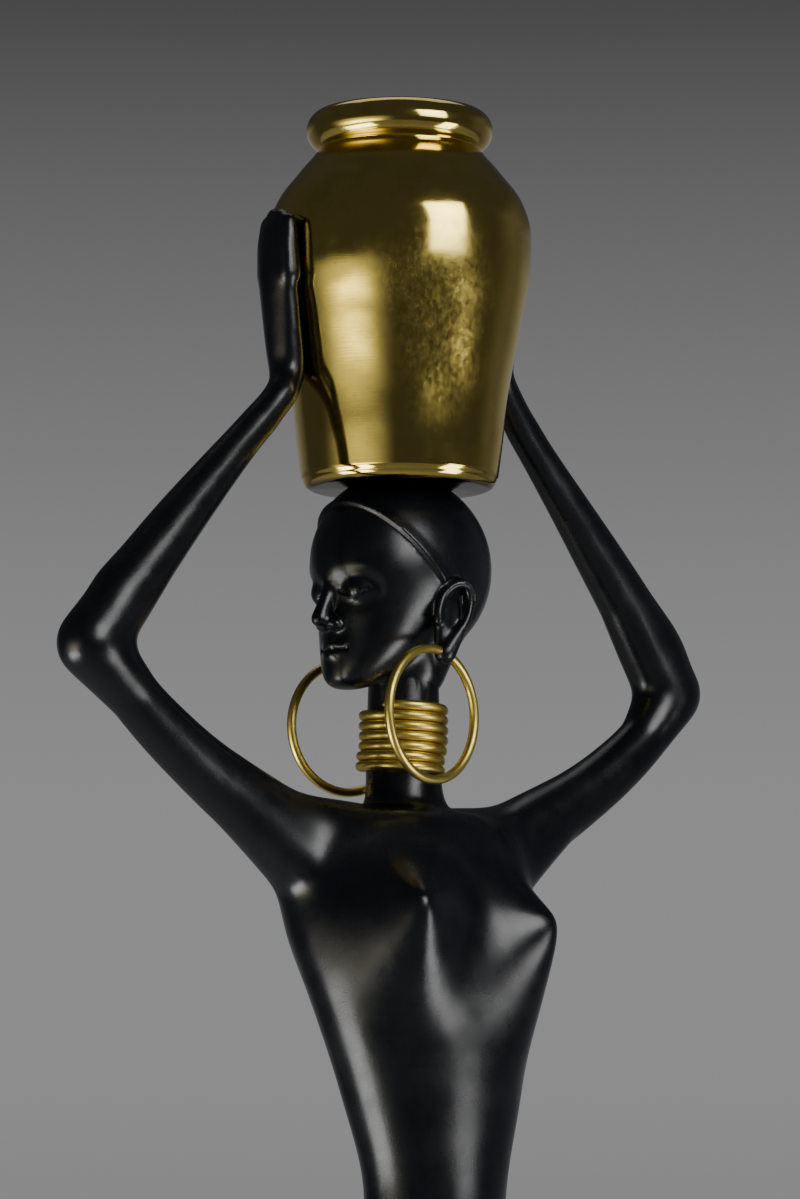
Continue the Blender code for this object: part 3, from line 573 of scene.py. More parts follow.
def add_trunk(clay):
    turn = [2 * math.pi * i / 48 for i in range(48)]
    levels = np.linspace(TRUNK[0][0], TRUNK[-1][0], TRUNK_RINGS)
    for_rings = smooth_path(TRUNK, levels)
    rings = [
        [body_point(w * math.cos(a), f - d * math.sin(a), u) for a in turn]
        for u, f, w, d in for_rings
    ]
    add_loft(clay, rings)


def add_neck(clay):
    low = body_point(0, 0.004, 0.812)
    middle = body_point(0, 0.000, 0.848)
    high = Vector((NECK_BACK, 0, CHIN_LEVEL + 0.012))
    low.x = middle.x = NECK_BACK
    add_chain(
        clay,
        (
            (low, body_radii(0.034, 0.027, 0.016)),
            (low.lerp(middle, 0.6), body_radii(0.0220, 0.0210, 0.010)),
            (middle, body_radii(0.0200, 0.0200, 0.010)),
            (high, body_radii(0.0185, 0.0185, 0.010)),
        ),
    )


def arm_point(side, left, up, share):
    """A place in a raised arm. The arms' ends are not quite level, by a share from the elbow on."""
    lift = WRIST_LIFT * side * share**2
    return body_point(left * side, ARM_FORWARD, up + lift)


def arm_ball(side, at):
    """The ball at a station of a raised arm, or between two stations."""
    last = len(ARM) - 1
    stations = [(i, *station) for i, station in enumerate(ARM)]
    _, left, up, radius = smooth_path(stations, at)[0]
    left += UPPER_ARM_OUT[side] * float(smooth_step(1 - abs(at - 4.2) / 3.2))
    share = max(0.0, (at - ELBOW_STATION) / (last - ELBOW_STATION))
    flat = 1.15 if at < 1 else 0.96
    return arm_point(side, left, up, share), body_radii(radius, flat * radius, radius)


def elbow_place(side):
    return arm_point(side, ELBOW_POINT[side], ARM[ELBOW_STATION][1] + 0.0005, 0)


def add_arm(clay, side):
    """The limb, and the elbow's point stretched a little way along both bones."""
    last = len(ARM) - 1
    add_chain(clay, [arm_ball(side, at) for at in np.linspace(0, last, 3 * last + 1)])
    point = (elbow_place(side), body_radii(ELBOW_RADIUS, 0.92 * ELBOW_RADIUS, ELBOW_RADIUS))
    for along in (-1.15, 2.2):
        add_hull(clay, (point, arm_ball(side, ELBOW_STATION + along)))


def add_armpit(clay, side):
    """The web of muscle from the flank and the chest to the upper arm."""
    flank = body_point(0.0505 * side, 0.003, 0.784)
    add_hull(
        clay,
        (
            (flank, body_radii(0.010, 0.022, 0.016)),
            (arm_point(side, ARM[1][0], ARM[1][1] - 0.002, 0), body_radii(0.016, 0.020, 0.019)),
            (arm_point(side, ARM[3][0], ARM[3][1], 0), body_radii(0.0140)),
        ),
    )


def wrist_place(side):
    return arm_point(side, ARM[-1][0], ARM[-1][1], 1)


def hand_point(side, level, across, off):
    """A place by the jar's wall: height above the wrist, across the palm, off the wall."""
    height = wrist_place(side).z + level
    radius = jar_radius(height - JAR_LEVEL) + off
    back = -HAND_FORWARD[side] * FIGURE_HEIGHT + across
    return Vector((side * math.sqrt(radius**2 - back**2), back, height))


def add_hand(clay, side):
    wrist = (wrist_place(side), body_radii(ARM[-1][2]))
    balls = [wrist]
    stations = [(i, *station) for i, station in enumerate(HAND)]
    for at in np.linspace(0, len(HAND) - 1, 11):
        _, level, off, thick, wide = smooth_path(stations, at)[0]
        balls.append((hand_point(side, level, 0.0, off), (thick, wide, 0.0090)))
    add_chain(clay, balls)
    for i, reach in enumerate(FINGERTIPS):
        across = (i - 1.5) * 0.0080
        add_chain(
            clay,
            (
                (hand_point(side, 0.070, across, 0.0084), (0.0080, 0.0062, 0.0060)),
                (hand_point(side, 0.088, across * 0.97, 0.0078), (0.0070, 0.0058, 0.0060)),
                (hand_point(side, reach, across * 0.92, 0.0070), (0.0056, 0.0054, 0.0058)),
            ),
        )
    add_chain(
        clay,
        (
            (hand_point(side, 0.016, 0.006, 0.0085), (0.0088, 0.0088, 0.0085)),
            (hand_point(side, 0.032, 0.0135, 0.0075), (0.0080, 0.0080, 0.0085)),
            (hand_point(side, 0.048, 0.0178, 0.0064), (0.0068, 0.0066, 0.0075)),
            (hand_point(side, 0.064, 0.0188, 0.0054), (0.0056, 0.0052, 0.0065)),
        ),
    )


def add_foot(clay, side):
    ankle = body_point(0.0235 * side, -0.004, 0.046)
    heel = body_point(0.0245 * side, -0.024, 0.013)
    ball = body_point(0.0300 * side, 0.066, 0.008)
    toes = body_point(0.0310 * side, 0.086, 0.005)
    add_hull(
        clay,
        (
            (ankle, body_radii(0.0165, 0.018, 0.016)),
            (heel, body_radii(0.0150, 0.016, 0.014)),
            (ball, body_radii(0.0210, 0.018, 0.011)),
        ),
    )
    add_hull(
        clay,
        (
            (ball, body_radii(0.0210, 0.018, 0.011)),
            (toes, body_radii(0.0190, 0.014, 0.008)),
        ),
    )


def shaped_chest(mesh):
    """Soft joins at neck, shoulders and armpits, and the two breasts drawn out of the chest."""
    bends = [(elbow_place(side), 0.045) for side in (-1, 1)]
    bends += [(wrist_place(side), 0.030) for side in (-1, 1)]
    eased(mesh, LIMB_SOFTNESS, BODY_VOXEL, bends)
    spots = []
    for place, reach in SOFT_SPOTS:
        for side in (-1, 1):
            spots.append((body_point(*mirrored(place, side)), reach * FIGURE_HEIGHT))
    eased(mesh, JOIN_SOFTNESS, BODY_VOXEL, spots)
    reaches = [BREAST_REACH[way] * FIGURE_HEIGHT for way in ("side", "up", "down")]
    for side in (-1, 1):
        root = body_point(*mirrored(BREAST_ROOT, side))
        tip = body_point(*mirrored(BREAST_TIP[side], side))
        drawn_out(mesh, root, tip, *reaches)
    chest = [(body_point(0, 0.040, 0.750), 0.090 * FIGURE_HEIGHT)]
    eased(mesh, CHEST_SOFTNESS, BODY_VOXEL, chest)


def add_skull(clay):
    """An egg-shaped skull, and an oval face below it that narrows to the chin."""
    add_ball(clay, head_point(0, 0, SKULL_LEVEL), head_radii(*SKULL_RADII), 48)
    turn = [2 * math.pi * i / 48 for i in range(48)]
    rings = [
        [head_point(w * math.cos(a), f - d * math.sin(a), u) for a in turn]
        for u, f, w, d in smooth_path(FACE, np.linspace(FACE[0][0], FACE[-1][0], FACE_RINGS))
    ]
    add_loft(clay, rings)
    add_ball(clay, head_point(0, 0.318, 0.190), head_radii(0.150, 0.132, 0.120), 32)
    add_chain(
        clay,
        (
            (head_point(0, -0.100, 0.330), head_radii(0.245, 0.230, 0.165)),
            (head_point(0, -0.040, 0.060), head_radii(0.182, 0.182, 0.085)),
        ),
    )


def add_nose(clay):
    add_chain(
        clay,
        (
            (head_point(0, 0.410, 0.580), head_radii(0.050, 0.045, 0.050)),
            (head_point(0, 0.430, 0.500), head_radii(0.036, 0.040, 0.045)),
            (head_point(0, 0.462, 0.415), head_radii(0.034, 0.040, 0.045)),
            (head_point(0, 0.500, 0.335), head_radii(0.042, 0.044, 0.040)),
        ),
    )
    for side in (-1, 1):
        add_hull(
            clay,
            (
                (head_point(0, 0.470, 0.325), head_radii(0.034)),
                (head_point(0.055 * side, 0.435, 0.312), head_radii(0.030, 0.042, 0.032)),
            ),
        )


def add_mouth(clay):
    """Two full, closed lips."""
    for up, forward, thick, bend in ((0.217, 0.432, 0.027, -0.014), (0.168, 0.427, 0.031, 0.012)):
        balls = []
        for way in np.linspace(-1, 1, 9):
            place = head_point(0.098 * way, forward - 0.064 * way**2, up + bend * way**2)
            balls.append((place, head_radii(thick * (1 - 0.60 * way**2))))
        add_chain(clay, balls)


def add_ear(clay, side):
    """A rim that runs from the front over the top and down the back into the lobe."""
    rim = []
    for i in range(13):
        turn = math.radians(-30 + 255 * i / 12)
        forward = -0.030 + 0.080 * math.cos(turn) - 0.030 * math.sin(turn)
        up = 0.390 + 0.125 * math.sin(turn)
        stand = 0.352 + 0.040 * float(smooth_step((0.05 - forward) / 0.13))
        rim.append((head_point(stand * side, forward, up), head_radii(0.023)))
    add_chain(clay, rim)
    lobe = head_point(LOBE[0] * side, LOBE[1], LOBE[2] - 0.002)
    add_hull(clay, (rim[-1], (lobe, head_radii(0.052, 0.056, 0.052))))
    add_hull(
        clay,
        (
            (head_point(0.333 * side, -0.030, 0.390), head_radii(0.040, 0.080, 0.120)),
            (head_point(0.328 * side, 0.005, 0.235), head_radii(0.038, 0.050, 0.050)),
        ),
    )


def stroke(mesh, path, width, depth):
    """Raises the skin along a path by a depth, or presses it in if the depth is below nought.

    The path's points and the sizes are in metres. The effect fades out over the width.
    """
    places, normals = read_skin(mesh)
    points = np.array([tuple(point) for point in path])
    inside = (places > points.min(axis=0) - width) & (places < points.max(axis=0) + width)
    close = np.nonzero(inside.all(axis=1))[0]
    near = np.full(len(close), np.inf)
    for start, end in zip(points, [*points[1:], points[-1]]):
        span = end - start
        reach = max(float(span @ span), 1e-12)
        share = np.clip((places[close] - start) @ span / reach, 0, 1)
        gap = places[close] - start - share[:, None] * span
        near = np.minimum(near, np.linalg.norm(gap, axis=1))
    places[close] += normals[close] * (smooth_step(1 - near / width) * depth)[:, None]
    write_skin(mesh, places)


def head_stroke(mesh, path, width, depth):
    """A stroke on her head, in shares of its height."""
    points = [head_point(*place) for place in path]
    stroke(mesh, points, width * HEAD_HEIGHT, depth * HEAD_HEIGHT)


def carve_sockets(mesh):
    """Shallow hollows for the eyes, under the brows."""
    for side in (-1, 1):
        socket = [(x * side, 0.46 - 0.5 * x, 0.490 - 0.10 * x) for x in (0.090, 0.135, 0.190)]
        head_stroke(mesh, socket, 0.120, -0.024)


def add_lids(clay):
    """Closed eyes, broad and full."""
    for side in (-1, 1):
        add_chain(
            clay,
            (
                (head_point(0.080 * side, 0.386, 0.474), head_radii(0.040, 0.036, 0.036)),
                (head_point(0.130 * side, 0.366, 0.480), head_radii(0.072, 0.068, 0.068)),
                (head_point(0.185 * side, 0.332, 0.474), head_radii(0.042, 0.040, 0.038)),
            ),
        )


def carve_hair(mesh):
    """A close cap of hair with a raised edge that runs from the forehead down before the ear."""
    places, normals = read_skin(mesh)
    forward = -places[:, 0] / HEAD_HEIGHT
    side = np.abs(places[:, 1]) / HEAD_HEIGHT
    up = (places[:, 2] - CHIN_LEVEL) / HEAD_HEIGHT
    beyond = up - HAIR_SLOPE * np.maximum(forward, -0.05) - HAIR_LEVEL
    behind = 0.10 * up - forward - 0.16
    beyond = np.maximum(beyond, behind)
    cap = smooth_step(beyond / 0.024) * (0.012 + 0.012 * smooth_step(1 - beyond / 0.11))
    from_ear = np.hypot((forward + 0.035) / 0.095, (up - 0.385) / 0.150)
    ear = smooth_step((side - 0.300) / 0.03) * smooth_step((1.15 - from_ear) / 0.20)
    cap = cap * (1 - ear) * smooth_step((up - 0.10) / 0.25)
    write_skin(mesh, places + normals * (cap * HEAD_HEIGHT)[:, None])


def carve_face(mesh):
    """Fine lines of a calm, closed-eyed face."""
    for side in (-1, 1):
        brow = [
            (x * side, 0.47 - 0.45 * x, 0.596 - 2.2 * (x - 0.135) ** 2)
            for x in (0.055, 0.08, 0.11, 0.14, 0.17, 0.205)
        ]
        head_stroke(mesh, brow, 0.040, 0.003)
        lashes = [
            (x * side, 0.45 - 0.34 * x, 0.446 + 4.5 * (x - 0.135) ** 2)
            for x in (0.062, 0.080, 0.105, 0.135, 0.165, 0.190, 0.208)
        ]
        head_stroke(mesh, lashes, 0.013, -0.008)
        head_stroke(mesh, [(0.027 * side, 0.480, 0.285)], 0.018, -0.012)
        wing = [(0.070 * side, 0.455, 0.350), (0.090 * side, 0.430, 0.315)]
        head_stroke(mesh, wing, 0.020, -0.004)
    parting = [
        (x, 0.455 - 5.0 * x**2, 0.190 + 0.4 * x**2)
        for x in (-0.094, -0.070, -0.035, 0.0, 0.035, 0.070, 0.094)
    ]
    head_stroke(mesh, parting, 0.011, -0.009)
    head_stroke(mesh, [(0, 0.460, 0.272), (0, 0.455, 0.250)], 0.022, -0.004)


def carve_ear(mesh, side):
    hollow = [(0.350 * side, -0.045, 0.430), (0.350 * side, -0.025, 0.330)]
    head_stroke(mesh, hollow, 0.060, -0.012)


def build_head():
    """The skull's smooth mass first, then the features, fused to it and evened out at the eyes."""
    clay = bmesh.new()
    add_skull(clay)
    skull = fused(clay, "skull", HEAD_VOXEL, SKULL_SOFTNESS)
    carve_sockets(skull.data)
    clay = bmesh.new()
    clay.from_mesh(skull.data)
    bpy.data.objects.remove(skull, do_unlink=True)
    add_nose(clay)
    add_mouth(clay)
    add_lids(clay)
    for side in (-1, 1):
        add_ear(clay, side)
    head = fused(clay, "head", HEAD_VOXEL, HEAD_SOFTNESS)
    eyes = [(head_point(0.135 * side, 0.40, 0.475), 0.020) for side in (-1, 1)]
    eased(head.data, EYE_SOFTNESS, HEAD_VOXEL, eyes)
    carve_hair(head.data)
    carve_face(head.data)
    for side in (-1, 1):
        carve_ear(head.data, side)
    return head


def build_body():
    clay = bmesh.new()
    add_trunk(clay)
    add_neck(clay)
    for side in (-1, 1):
        add_arm(clay, side)
        add_armpit(clay, side)
        add_hand(clay, side)
        add_foot(clay, side)
    body = fused(clay, "figure_skin", BODY_VOXEL, BODY_SOFTNESS)
    shaped_chest(body.data)
    return body


def cylinder(name, radius, low, high):
    shape = bmesh.new()
    bmesh.ops.create_cone(
        shape,
        cap_ends=True,
        segments=ROUND_STEPS,
        radius1=radius,
        radius2=radius,
        depth=high - low,
        matrix=Matrix.Translation((0, 0, (low + high) / 2)),
    )
    return object_from(shape, name)


def jar_space():
    """The jar's outside as one block, larger by the contact gap."""
    profile = [*jar_outline(CONTACT_GAP), (0.0, JAR_THROAT_LEVEL)]
    block = turned(profile, "jar space")
    block.location.z = JAR_LEVEL
    return block


def spiral_space():
    """The room for the neck's spiral: a sleeve round a core of the neck that follows the turns."""
    top = COIL_TOP_LEVEL + COIL_CLEARANCE
    low = COIL_LOW_LEVEL - COIL_WIRE - COIL_CLEARANCE
    turn = [2 * math.pi * i / ROUND_STEPS for i in range(ROUND_STEPS)]
    wide = COIL_RADIUS + COIL_DRIFT + COIL_WIRE

    def circle(radius, level):
        middle = coil_centre(level)
        return [middle + Vector((math.cos(a), math.sin(a), 0)) * radius for a in turn]

    outside = [circle(wide, level) for level in (low, top)]
    inside = [circle(NECK_CORE, level) for level in np.linspace(top, low, 33)]
    shape = bmesh.new()
    rings = [[shape.verts.new(place) for place in ring] for ring in (*outside, *inside)]
    for below, above in zip(rings, [*rings[1:], rings[0]]):
        for i in range(ROUND_STEPS):
            j = (i + 1) % ROUND_STEPS
            shape.faces.new((below[i], below[j], above[j], above[i]))
    return facing_out(object_from(shape, "spiral space"))


def ring(name, frame_matrix, wire, steps, sides):
    bpy.ops.mesh.primitive_torus_add(
        major_radius=HOOP_RADIUS,
        minor_radius=wire,
        major_segments=steps,
        minor_segments=sides,
    )
    item = bpy.context.object
    item.name = name
    item.matrix_world = frame_matrix
    return item


def build_figure(patina):
    figure = combined(build_body(), build_head(), "UNION")
    figure = combined(figure, jar_space(), "DIFFERENCE")
    crown = cylinder("crown", JAR_FOOT_RADIUS, CROWN_LEVEL, CROWN_LEVEL + 0.040)
    figure = combined(figure, crown, "DIFFERENCE")
    floor = cylinder("ground", BASE_RADIUS * 1.5, SOLE_LEVEL - 0.040, SOLE_LEVEL)
    figure = combined(figure, floor, "DIFFERENCE")
    figure = combined(figure, spiral_space(), "DIFFERENCE")
    for side in (-1, 1):
        hole = ring("lobe hole", hoop_frame(side), HOOP_WIRE / 2 + CONTACT_GAP, 160, 24)
        figure = combined(figure, hole, "DIFFERENCE")
    figure = reduced(figure, MOST_TRIANGLES)
    figure.name = "figure_skin"
    dress(figure, patina, "figure")
    return figure


def dress(item, look, node):
    item.data.materials.clear()
    item.data.materials.append(look)
    smooth_shaded(item)
    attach(item, "root")
    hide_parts(node)


def build_jar(brass):
    jar = turned(jar_profile(), "jar_wall")
    jar.location.z = JAR_LEVEL
    dress(jar, brass, "jar")


def build_coil(brass):
    path = bpy.data.curves.new("neck_spiral", "CURVE")
    path.dimensions = "3D"
    path.bevel_depth = COIL_WIRE / 2
    path.bevel_resolution = 4
    path.use_fill_caps = True
    count = int(COIL_TURNS * 72)
    spline = path.splines.new("POLY")
    spline.points.add(count)
    for i in range(count + 1):
        turn = COIL_TURNS * i / count
        angle = math.radians(200) + 2 * math.pi * turn
        level = COIL_TOP_LEVEL - COIL_WIRE / 2 - COIL_PITCH * turn
        around = Vector((math.cos(angle), math.sin(angle), 0)) * COIL_RADIUS
        spline.points[i].co = (*(coil_centre(level) + around), 1)
        spline.points[i].radius = end_taper(min(i, count - i))
    coil = facing_out(as_mesh(add_object("neck_spiral", path)))
    dress(coil, brass, "neck_rings")


def end_taper(steps_from_end):
    """The wire's ends are rounded off over their last few steps."""
    return (0.55, 0.85, 1.0)[min(steps_from_end, 2)]


def build_hoop(side, name, node, brass):
    hoop = ring(name, hoop_frame(side), HOOP_WIRE / 2, 160, 24)
    dress(hoop, brass, node)


def build_base(black):
    base = cylinder("base_block", BASE_RADIUS, 0, BASE_HEIGHT)
    bevel = base.modifiers.new("rounding", "BEVEL")
    bevel.width = BASE_ROUNDING
    bevel.segments = 6
    bevel.limit_method = "ANGLE"
    base = as_mesh(base)
    dress(base, black, "base")


def new_look(name):
    """A material with its node tree and shader."""
    made = bpy.data.materials.new(name)
    made.use_nodes = True
    return made, made.node_tree, made.node_tree.nodes["Principled BSDF"]


def node(tree, kind, **values):
    made = tree.nodes.new(kind)
    for name, value in values.items():
        setattr(made, name, value)
    return made


def noise(tree, scale, detail=4.0, roughness=0.55, stretch=(1, 1, 1)):
    """Noise fixed to the object, in cycles a metre."""
    place = node(tree, "ShaderNodeTexCoord")
    mapping = node(tree, "ShaderNodeMapping")
    mapping.inputs["Scale"].default_value = stretch
    made = node(tree, "ShaderNodeTexNoise")
    made.inputs["Scale"].default_value = scale
    made.inputs["Detail"].default_value = detail
    made.inputs["Roughness"].default_value = roughness
    tree.links.new(place.outputs["Object"], mapping.inputs["Vector"])
    tree.links.new(mapping.outputs["Vector"], made.inputs["Vector"])
    return made.outputs["Fac"]


def spread(tree, value, low, high, to_low=0.0, to_high=1.0):
    made = node(tree, "ShaderNodeMapRange", clamp=True)
    for name, number in zip(("From Min", "From Max", "To Min", "To Max"), (low, high, to_low, to_high)):
        made.inputs[name].default_value = number
    tree.links.new(value, made.inputs["Value"])
    return made.outputs["Result"]


def mixed(tree, share, first, second):
    made = node(tree, "ShaderNodeMix", data_type="RGBA")
    for name, colour in (("A", first), ("B", second)):
        socket = [s for s in made.inputs if s.name == name and s.type == "RGBA"][0]
        if isinstance(colour, tuple):
            socket.default_value = (*colour, 1.0)
        else:
            tree.links.new(colour, socket)
    tree.links.new(share, made.inputs["Factor"])
    return [s for s in made.outputs if s.type == "RGBA"][0]


def summed(tree, first, second, operation="ADD"):
    made = node(tree, "ShaderNodeMath", operation=operation)
    tree.links.new(first, made.inputs[0])
    if isinstance(second, float):
        made.inputs[1].default_value = second
    else:
        tree.links.new(second, made.inputs[1])
    return made.outputs["Value"]


def bumped(tree, height, distance, strength=1.0, under=None):
    made = node(tree, "ShaderNodeBump")
    made.inputs["Distance"].default_value = distance
    made.inputs["Strength"].default_value = strength
    tree.links.new(height, made.inputs["Height"])
    if under is not None:
        tree.links.new(under, made.inputs["Normal"])
    return made.outputs["Normal"]


def black_patina():
    """Satin black over cast metal: soft waves of hand finishing, fine grain and a few pits."""
    made, tree, shader = new_look("black patina")
    mottle = spread(tree, noise(tree, 26.0, 6.0, 0.62), 0.35, 0.70)
    colour = mixed(tree, mottle, PATINA_DARK, PATINA_PALE)
    rubbed = spread(tree, noise(tree, 9.0, 5.0, 0.6), 0.60, 0.78)
    colour = mixed(tree, rubbed, colour, PATINA_RUBBED)
    tree.links.new(colour, shader.inputs["Base Color"])
    gloss = spread(tree, noise(tree, 34.0, 6.0, 0.65), 0.30, 0.72, 0.20, 0.34)
    tree.links.new(gloss, shader.inputs["Roughness"])
    shader.inputs["Specular IOR Level"].default_value = 0.46
    waves = bumped(tree, noise(tree, 17.0, 2.0, 0.4), 0.0035, 0.55)
    grain = bumped(tree, noise(tree, 900.0, 3.0, 0.6), 0.00010, 0.6, waves)
    tree.links.new(grain, shader.inputs["Normal"])
    return made


def black_base_look():
    made, tree, shader = new_look("black base")
    mottle = spread(tree, noise(tree, 40.0, 5.0, 0.6), 0.35, 0.70)
    colour = mixed(tree, mottle, BASE_DARK, BASE_PALE)
    tree.links.new(colour, shader.inputs["Base Color"])
    gloss = spread(tree, noise(tree, 60.0, 5.0, 0.6), 0.30, 0.72, 0.30, 0.48)
    tree.links.new(gloss, shader.inputs["Roughness"])
    tree.links.new(bumped(tree, noise(tree, 700.0, 3.0), 0.00012, 0.6), shader.inputs["Normal"])
    return made


def near_place(tree, place, reach):
    """One at a place on the object, fading to nought at a reach."""
    here = node(tree, "ShaderNodeTexCoord").outputs["Object"]
    gap = node(tree, "ShaderNodeVectorMath", operation="DISTANCE")
    tree.links.new(here, gap.inputs[0])
    gap.inputs[1].default_value = place
    return spread(tree, gap.outputs["Value"], 0.3 * reach, reach, 1.0, 0.0)


def jar_place(azimuth, level):
    """A place on the jar's wall at an azimuth, to the right of the camera's side, and a level."""
    turn = CAMERA_AZIMUTH + math.radians(azimuth)
    return (jar_radius(level) * math.sin(turn), -jar_radius(level) * math.cos(turn), level)


def scuffed(tree, haze):
    """Adds worn, hazy patches to a roughness."""
    worn = None
    for azimuth, level, reach in SCUFFS:
        patch = near_place(tree, jar_place(azimuth, level), reach)
        worn = patch if worn is None else summed(tree, worn, patch, "MAXIMUM")
    fine = spread(tree, noise(tree, 330.0, 8.0, 0.75, (1, 1, 0.6)), 0.30, 0.68)
    return summed(tree, haze, summed(tree, summed(tree, worn, fine, "MULTIPLY"), 0.17, "MULTIPLY"))


def painted_underside_shade(tree, colour):
    """The jar's underside, where it stands on her head, is painted near black as painted shade."""
    split = node(tree, "ShaderNodeSeparateXYZ")
    tree.links.new(node(tree, "ShaderNodeTexCoord").outputs["Object"], split.inputs["Vector"])
    under = spread(tree, split.outputs["Z"], 0.0004, 0.0024, 1.0, 0.0)
    return mixed(tree, under, colour, BRASS_PAINTED_SHADE)


def polished_brass(name, tarnish, waviness, haze):
    """Brass polished by hand: soft dents, olive tarnish, fine scratches round it and a scuffed haze."""
    made, tree, shader = new_look(name)
    cloud = spread(tree, noise(tree, 30.0, 7.0, 0.68), 0.50, 0.74, 0.0, tarnish)
    speck = spread(tree, noise(tree, 260.0, 4.0, 0.7), 0.58, 0.74, 0.0, tarnish)
    soiled = summed(tree, cloud, speck, "MAXIMUM")
    colour = mixed(tree, soiled, BRASS_CLEAN, BRASS_TARNISHED)
    shader.inputs["Metallic"].default_value = 1.0
    dull = spread(tree, noise(tree, 46.0, 6.0, 0.65), 0.35, 0.75, haze, haze + 0.07)
    rough = summed(tree, dull, summed(tree, soiled, 0.16, "MULTIPLY"))
    if name == "polished brass":
        rough = scuffed(tree, rough)
        # The jar's underside is darkened here, as painted shade where it stands on her head.
        colour = painted_underside_shade(tree, colour)
    tree.links.new(colour, shader.inputs["Base Color"])
    tree.links.new(rough, shader.inputs["Roughness"])
    dents = bumped(tree, noise(tree, 22.0, 2.0, 0.4), waviness, 1.0)
    lines = bumped(tree, noise(tree, 60.0, 3.0, 0.6, (1, 1, 22)), 0.00003, 0.5, dents)
    tree.links.new(lines, shader.inputs["Normal"])
    return made


def floor_look():
    made, tree, shader = new_look("pale floor")
    mottle = spread(tree, noise(tree, 3.0, 3.0), 0.3, 0.7)
    tree.links.new(mixed(tree, mottle, FLOOR_DARK, FLOOR_PALE), shader.inputs["Base Color"])
    shader.inputs["Roughness"].default_value = 0.8
    shader.inputs["Emission Color"].default_value = (1.0, 1.0, 1.0, 1.0)
    shader.inputs["Emission Strength"].default_value = FLOOR_GLOW
    return made


def build_floor():
    bpy.ops.mesh.primitive_circle_add(vertices=96, radius=FLOOR_RADIUS, fill_type="NGON")
    floor = bpy.context.object
    floor.name = "floor"
    floor.data.materials.append(floor_look())


def aimed(place, target):
    """A matrix that puts something at a place, looking at a target."""
    turn = (Vector(target) - Vector(place)).to_track_quat("-Z", "Y")
    return Matrix.LocRotScale(Vector(place), turn, None)


def add_light(name, azimuth, elevation, distance, width, height, power, target, beam):
    """A soft box. Its azimuth is from the camera's side of the object, to the camera's right."""
    turn = CAMERA_AZIMUTH + azimuth
    around = Vector((math.sin(turn), -math.cos(turn), 0)) * math.cos(elevation)
    place = Vector(target) + (around + Vector((0, 0, math.sin(elevation)))) * distance
    lamp = bpy.data.lights.new(name, "AREA")
    lamp.shape = "RECTANGLE"
    lamp.size = width
    lamp.size_y = height
    lamp.energy = power
    lamp.spread = beam
    add_object(name, lamp).matrix_world = aimed(place, target)


def light_room():
    for name, azimuth, elevation, distance, width, height, power, level, beam in LAMPS:
        turn, rise, beam = (math.radians(angle) for angle in (azimuth, elevation, beam))
        add_light(name, turn, rise, distance, width, height, power, (0.0, 0.0, level), beam)


def direction_band(tree, value, centre, half, soft):
    """One inside a band of angles round a centre and nought outside it, with soft edges."""
    gap = summed(tree, value, -centre, "ADD")
    away = node(tree, "ShaderNodeMath", operation="ABSOLUTE")
    tree.links.new(gap, away.inputs[0])
    band = spread(tree, away.outputs["Value"], half, half + soft, 1.0, 0.0)
    tree.nodes[-1].interpolation_type = "SMOOTHSTEP"
    return band


def wall_tone(tree, height):
    """The grey of the wall at a height."""
    ramp = node(tree, "ShaderNodeValToRGB")
    tree.links.new(spread(tree, height, *WALL_HEIGHTS), ramp.inputs["Fac"])
    while len(ramp.color_ramp.elements) < len(WALL_TONES):
        ramp.color_ramp.elements.new(0.5)
    for element, (position, tone) in zip(ramp.color_ramp.elements, WALL_TONES):
        element.position = position
        element.color = (tone, tone, tone * 1.01, 1.0)
    return ramp.outputs["Color"]


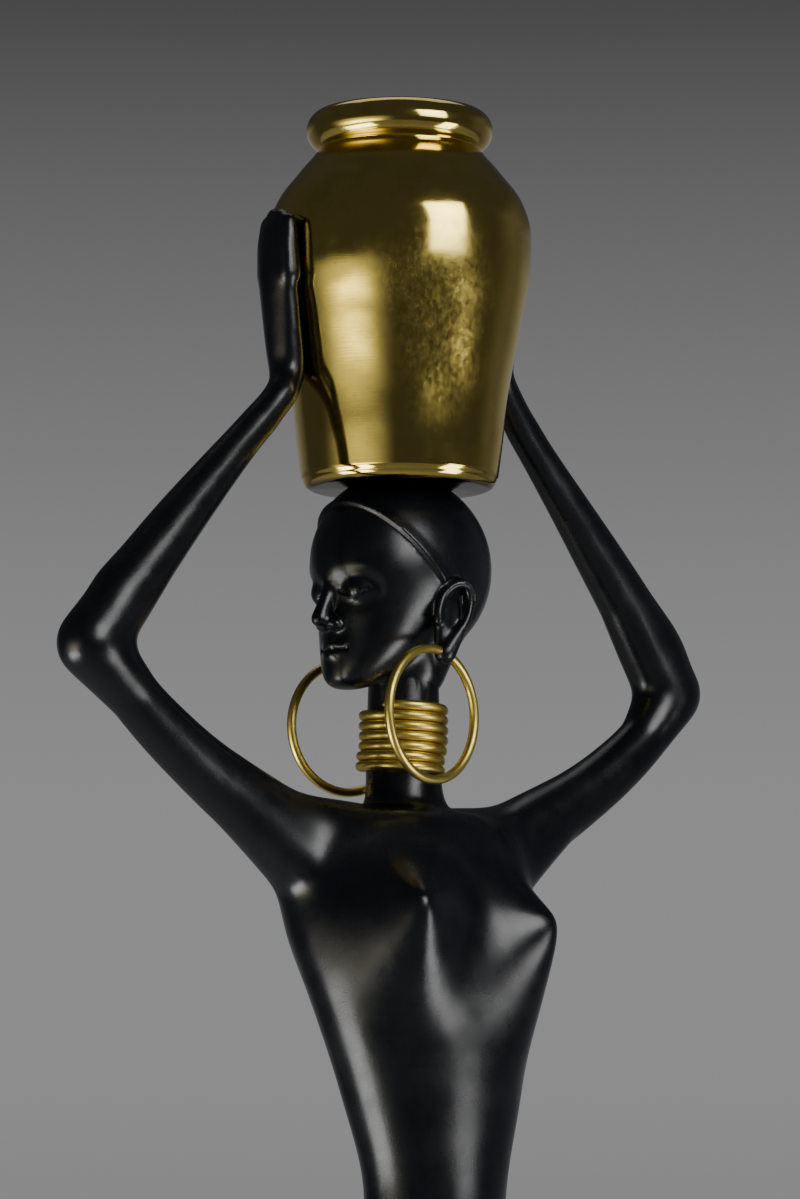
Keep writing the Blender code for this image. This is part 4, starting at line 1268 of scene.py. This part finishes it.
def room_light(tree, azimuth, height):
    """The dim room and its soft glows, tinted."""
    room = None
    for *angles, low, high, rise, strength in ROOM_GLOWS:
        across = direction_band(tree, azimuth, *(math.radians(angle) for angle in angles))
        upright = direction_band(tree, height, (low + high) / 2, (high - low) / 2, rise)
        glow = summed(tree, summed(tree, across, upright, "MULTIPLY"), strength, "MULTIPLY")
        room = glow if room is None else summed(tree, room, glow)
    room = summed(tree, room, ROOM_DIM)
    tinted = node(tree, "ShaderNodeVectorMath", operation="MULTIPLY")
    tint = mixed(tree, spread(tree, room, 0.05, 1.0), DIM_TINT, GLOW_TINT)
    tree.links.new(tint, tinted.inputs[0])
    tree.links.new(room, tinted.inputs[1])
    return tinted.outputs["Vector"]


def build_backdrop():
    """A grey studio wall, in a dim room with a broad low glow to the left."""
    world = bpy.data.worlds.new("studio")
    bpy.context.scene.world = world
    world.use_nodes = True
    tree = world.node_tree
    place = node(tree, "ShaderNodeTexCoord")
    turned_to = node(tree, "ShaderNodeMapping")
    turned_to.inputs["Rotation"].default_value = (0, 0, -CAMERA_AZIMUTH)
    tree.links.new(place.outputs["Generated"], turned_to.inputs["Vector"])
    split = node(tree, "ShaderNodeSeparateXYZ")
    tree.links.new(turned_to.outputs["Vector"], split.inputs["Vector"])
    height = split.outputs["Z"]
    azimuth = node(tree, "ShaderNodeMath", operation="ARCTAN2")
    tree.links.new(split.outputs["X"], azimuth.inputs[0])
    tree.links.new(summed(tree, split.outputs["Y"], -1.0, "MULTIPLY"), azimuth.inputs[1])
    room = room_light(tree, azimuth.outputs["Value"], height)
    behind = spread(tree, split.outputs["Y"], *WALL_DEPTHS)
    seen = node(tree, "ShaderNodeLightPath").outputs["Is Camera Ray"]
    wall = summed(tree, seen, behind, "MAXIMUM")
    lit = mixed(tree, wall, room, wall_tone(tree, height))
    tree.links.new(lit, tree.nodes["Background"].inputs["Color"])


def add_camera():
    lens = bpy.data.cameras.new("camera")
    lens.lens = CAMERA_LENS
    lens.sensor_width = 36.0
    camera = add_object("camera", lens)
    camera.location = CAMERA_PLACE
    camera.rotation_euler = (math.radians(90) + CAMERA_PITCH, 0.0, CAMERA_AZIMUTH)
    bpy.context.scene.camera = camera


def main():
    add_camera()
    build_backdrop()
    build_floor()
    light_room()
    build_figure(black_patina())
    build_jar(polished_brass("polished brass", 0.50, 0.0008, 0.08))
    wire = polished_brass("brass wire", 0.90, 0.0003, 0.29)
    build_coil(wire)
    build_hoop(1, "hoop_left", "earring_left", wire)
    build_hoop(-1, "hoop_right", "earring_right", wire)
    build_base(black_base_look())


main()
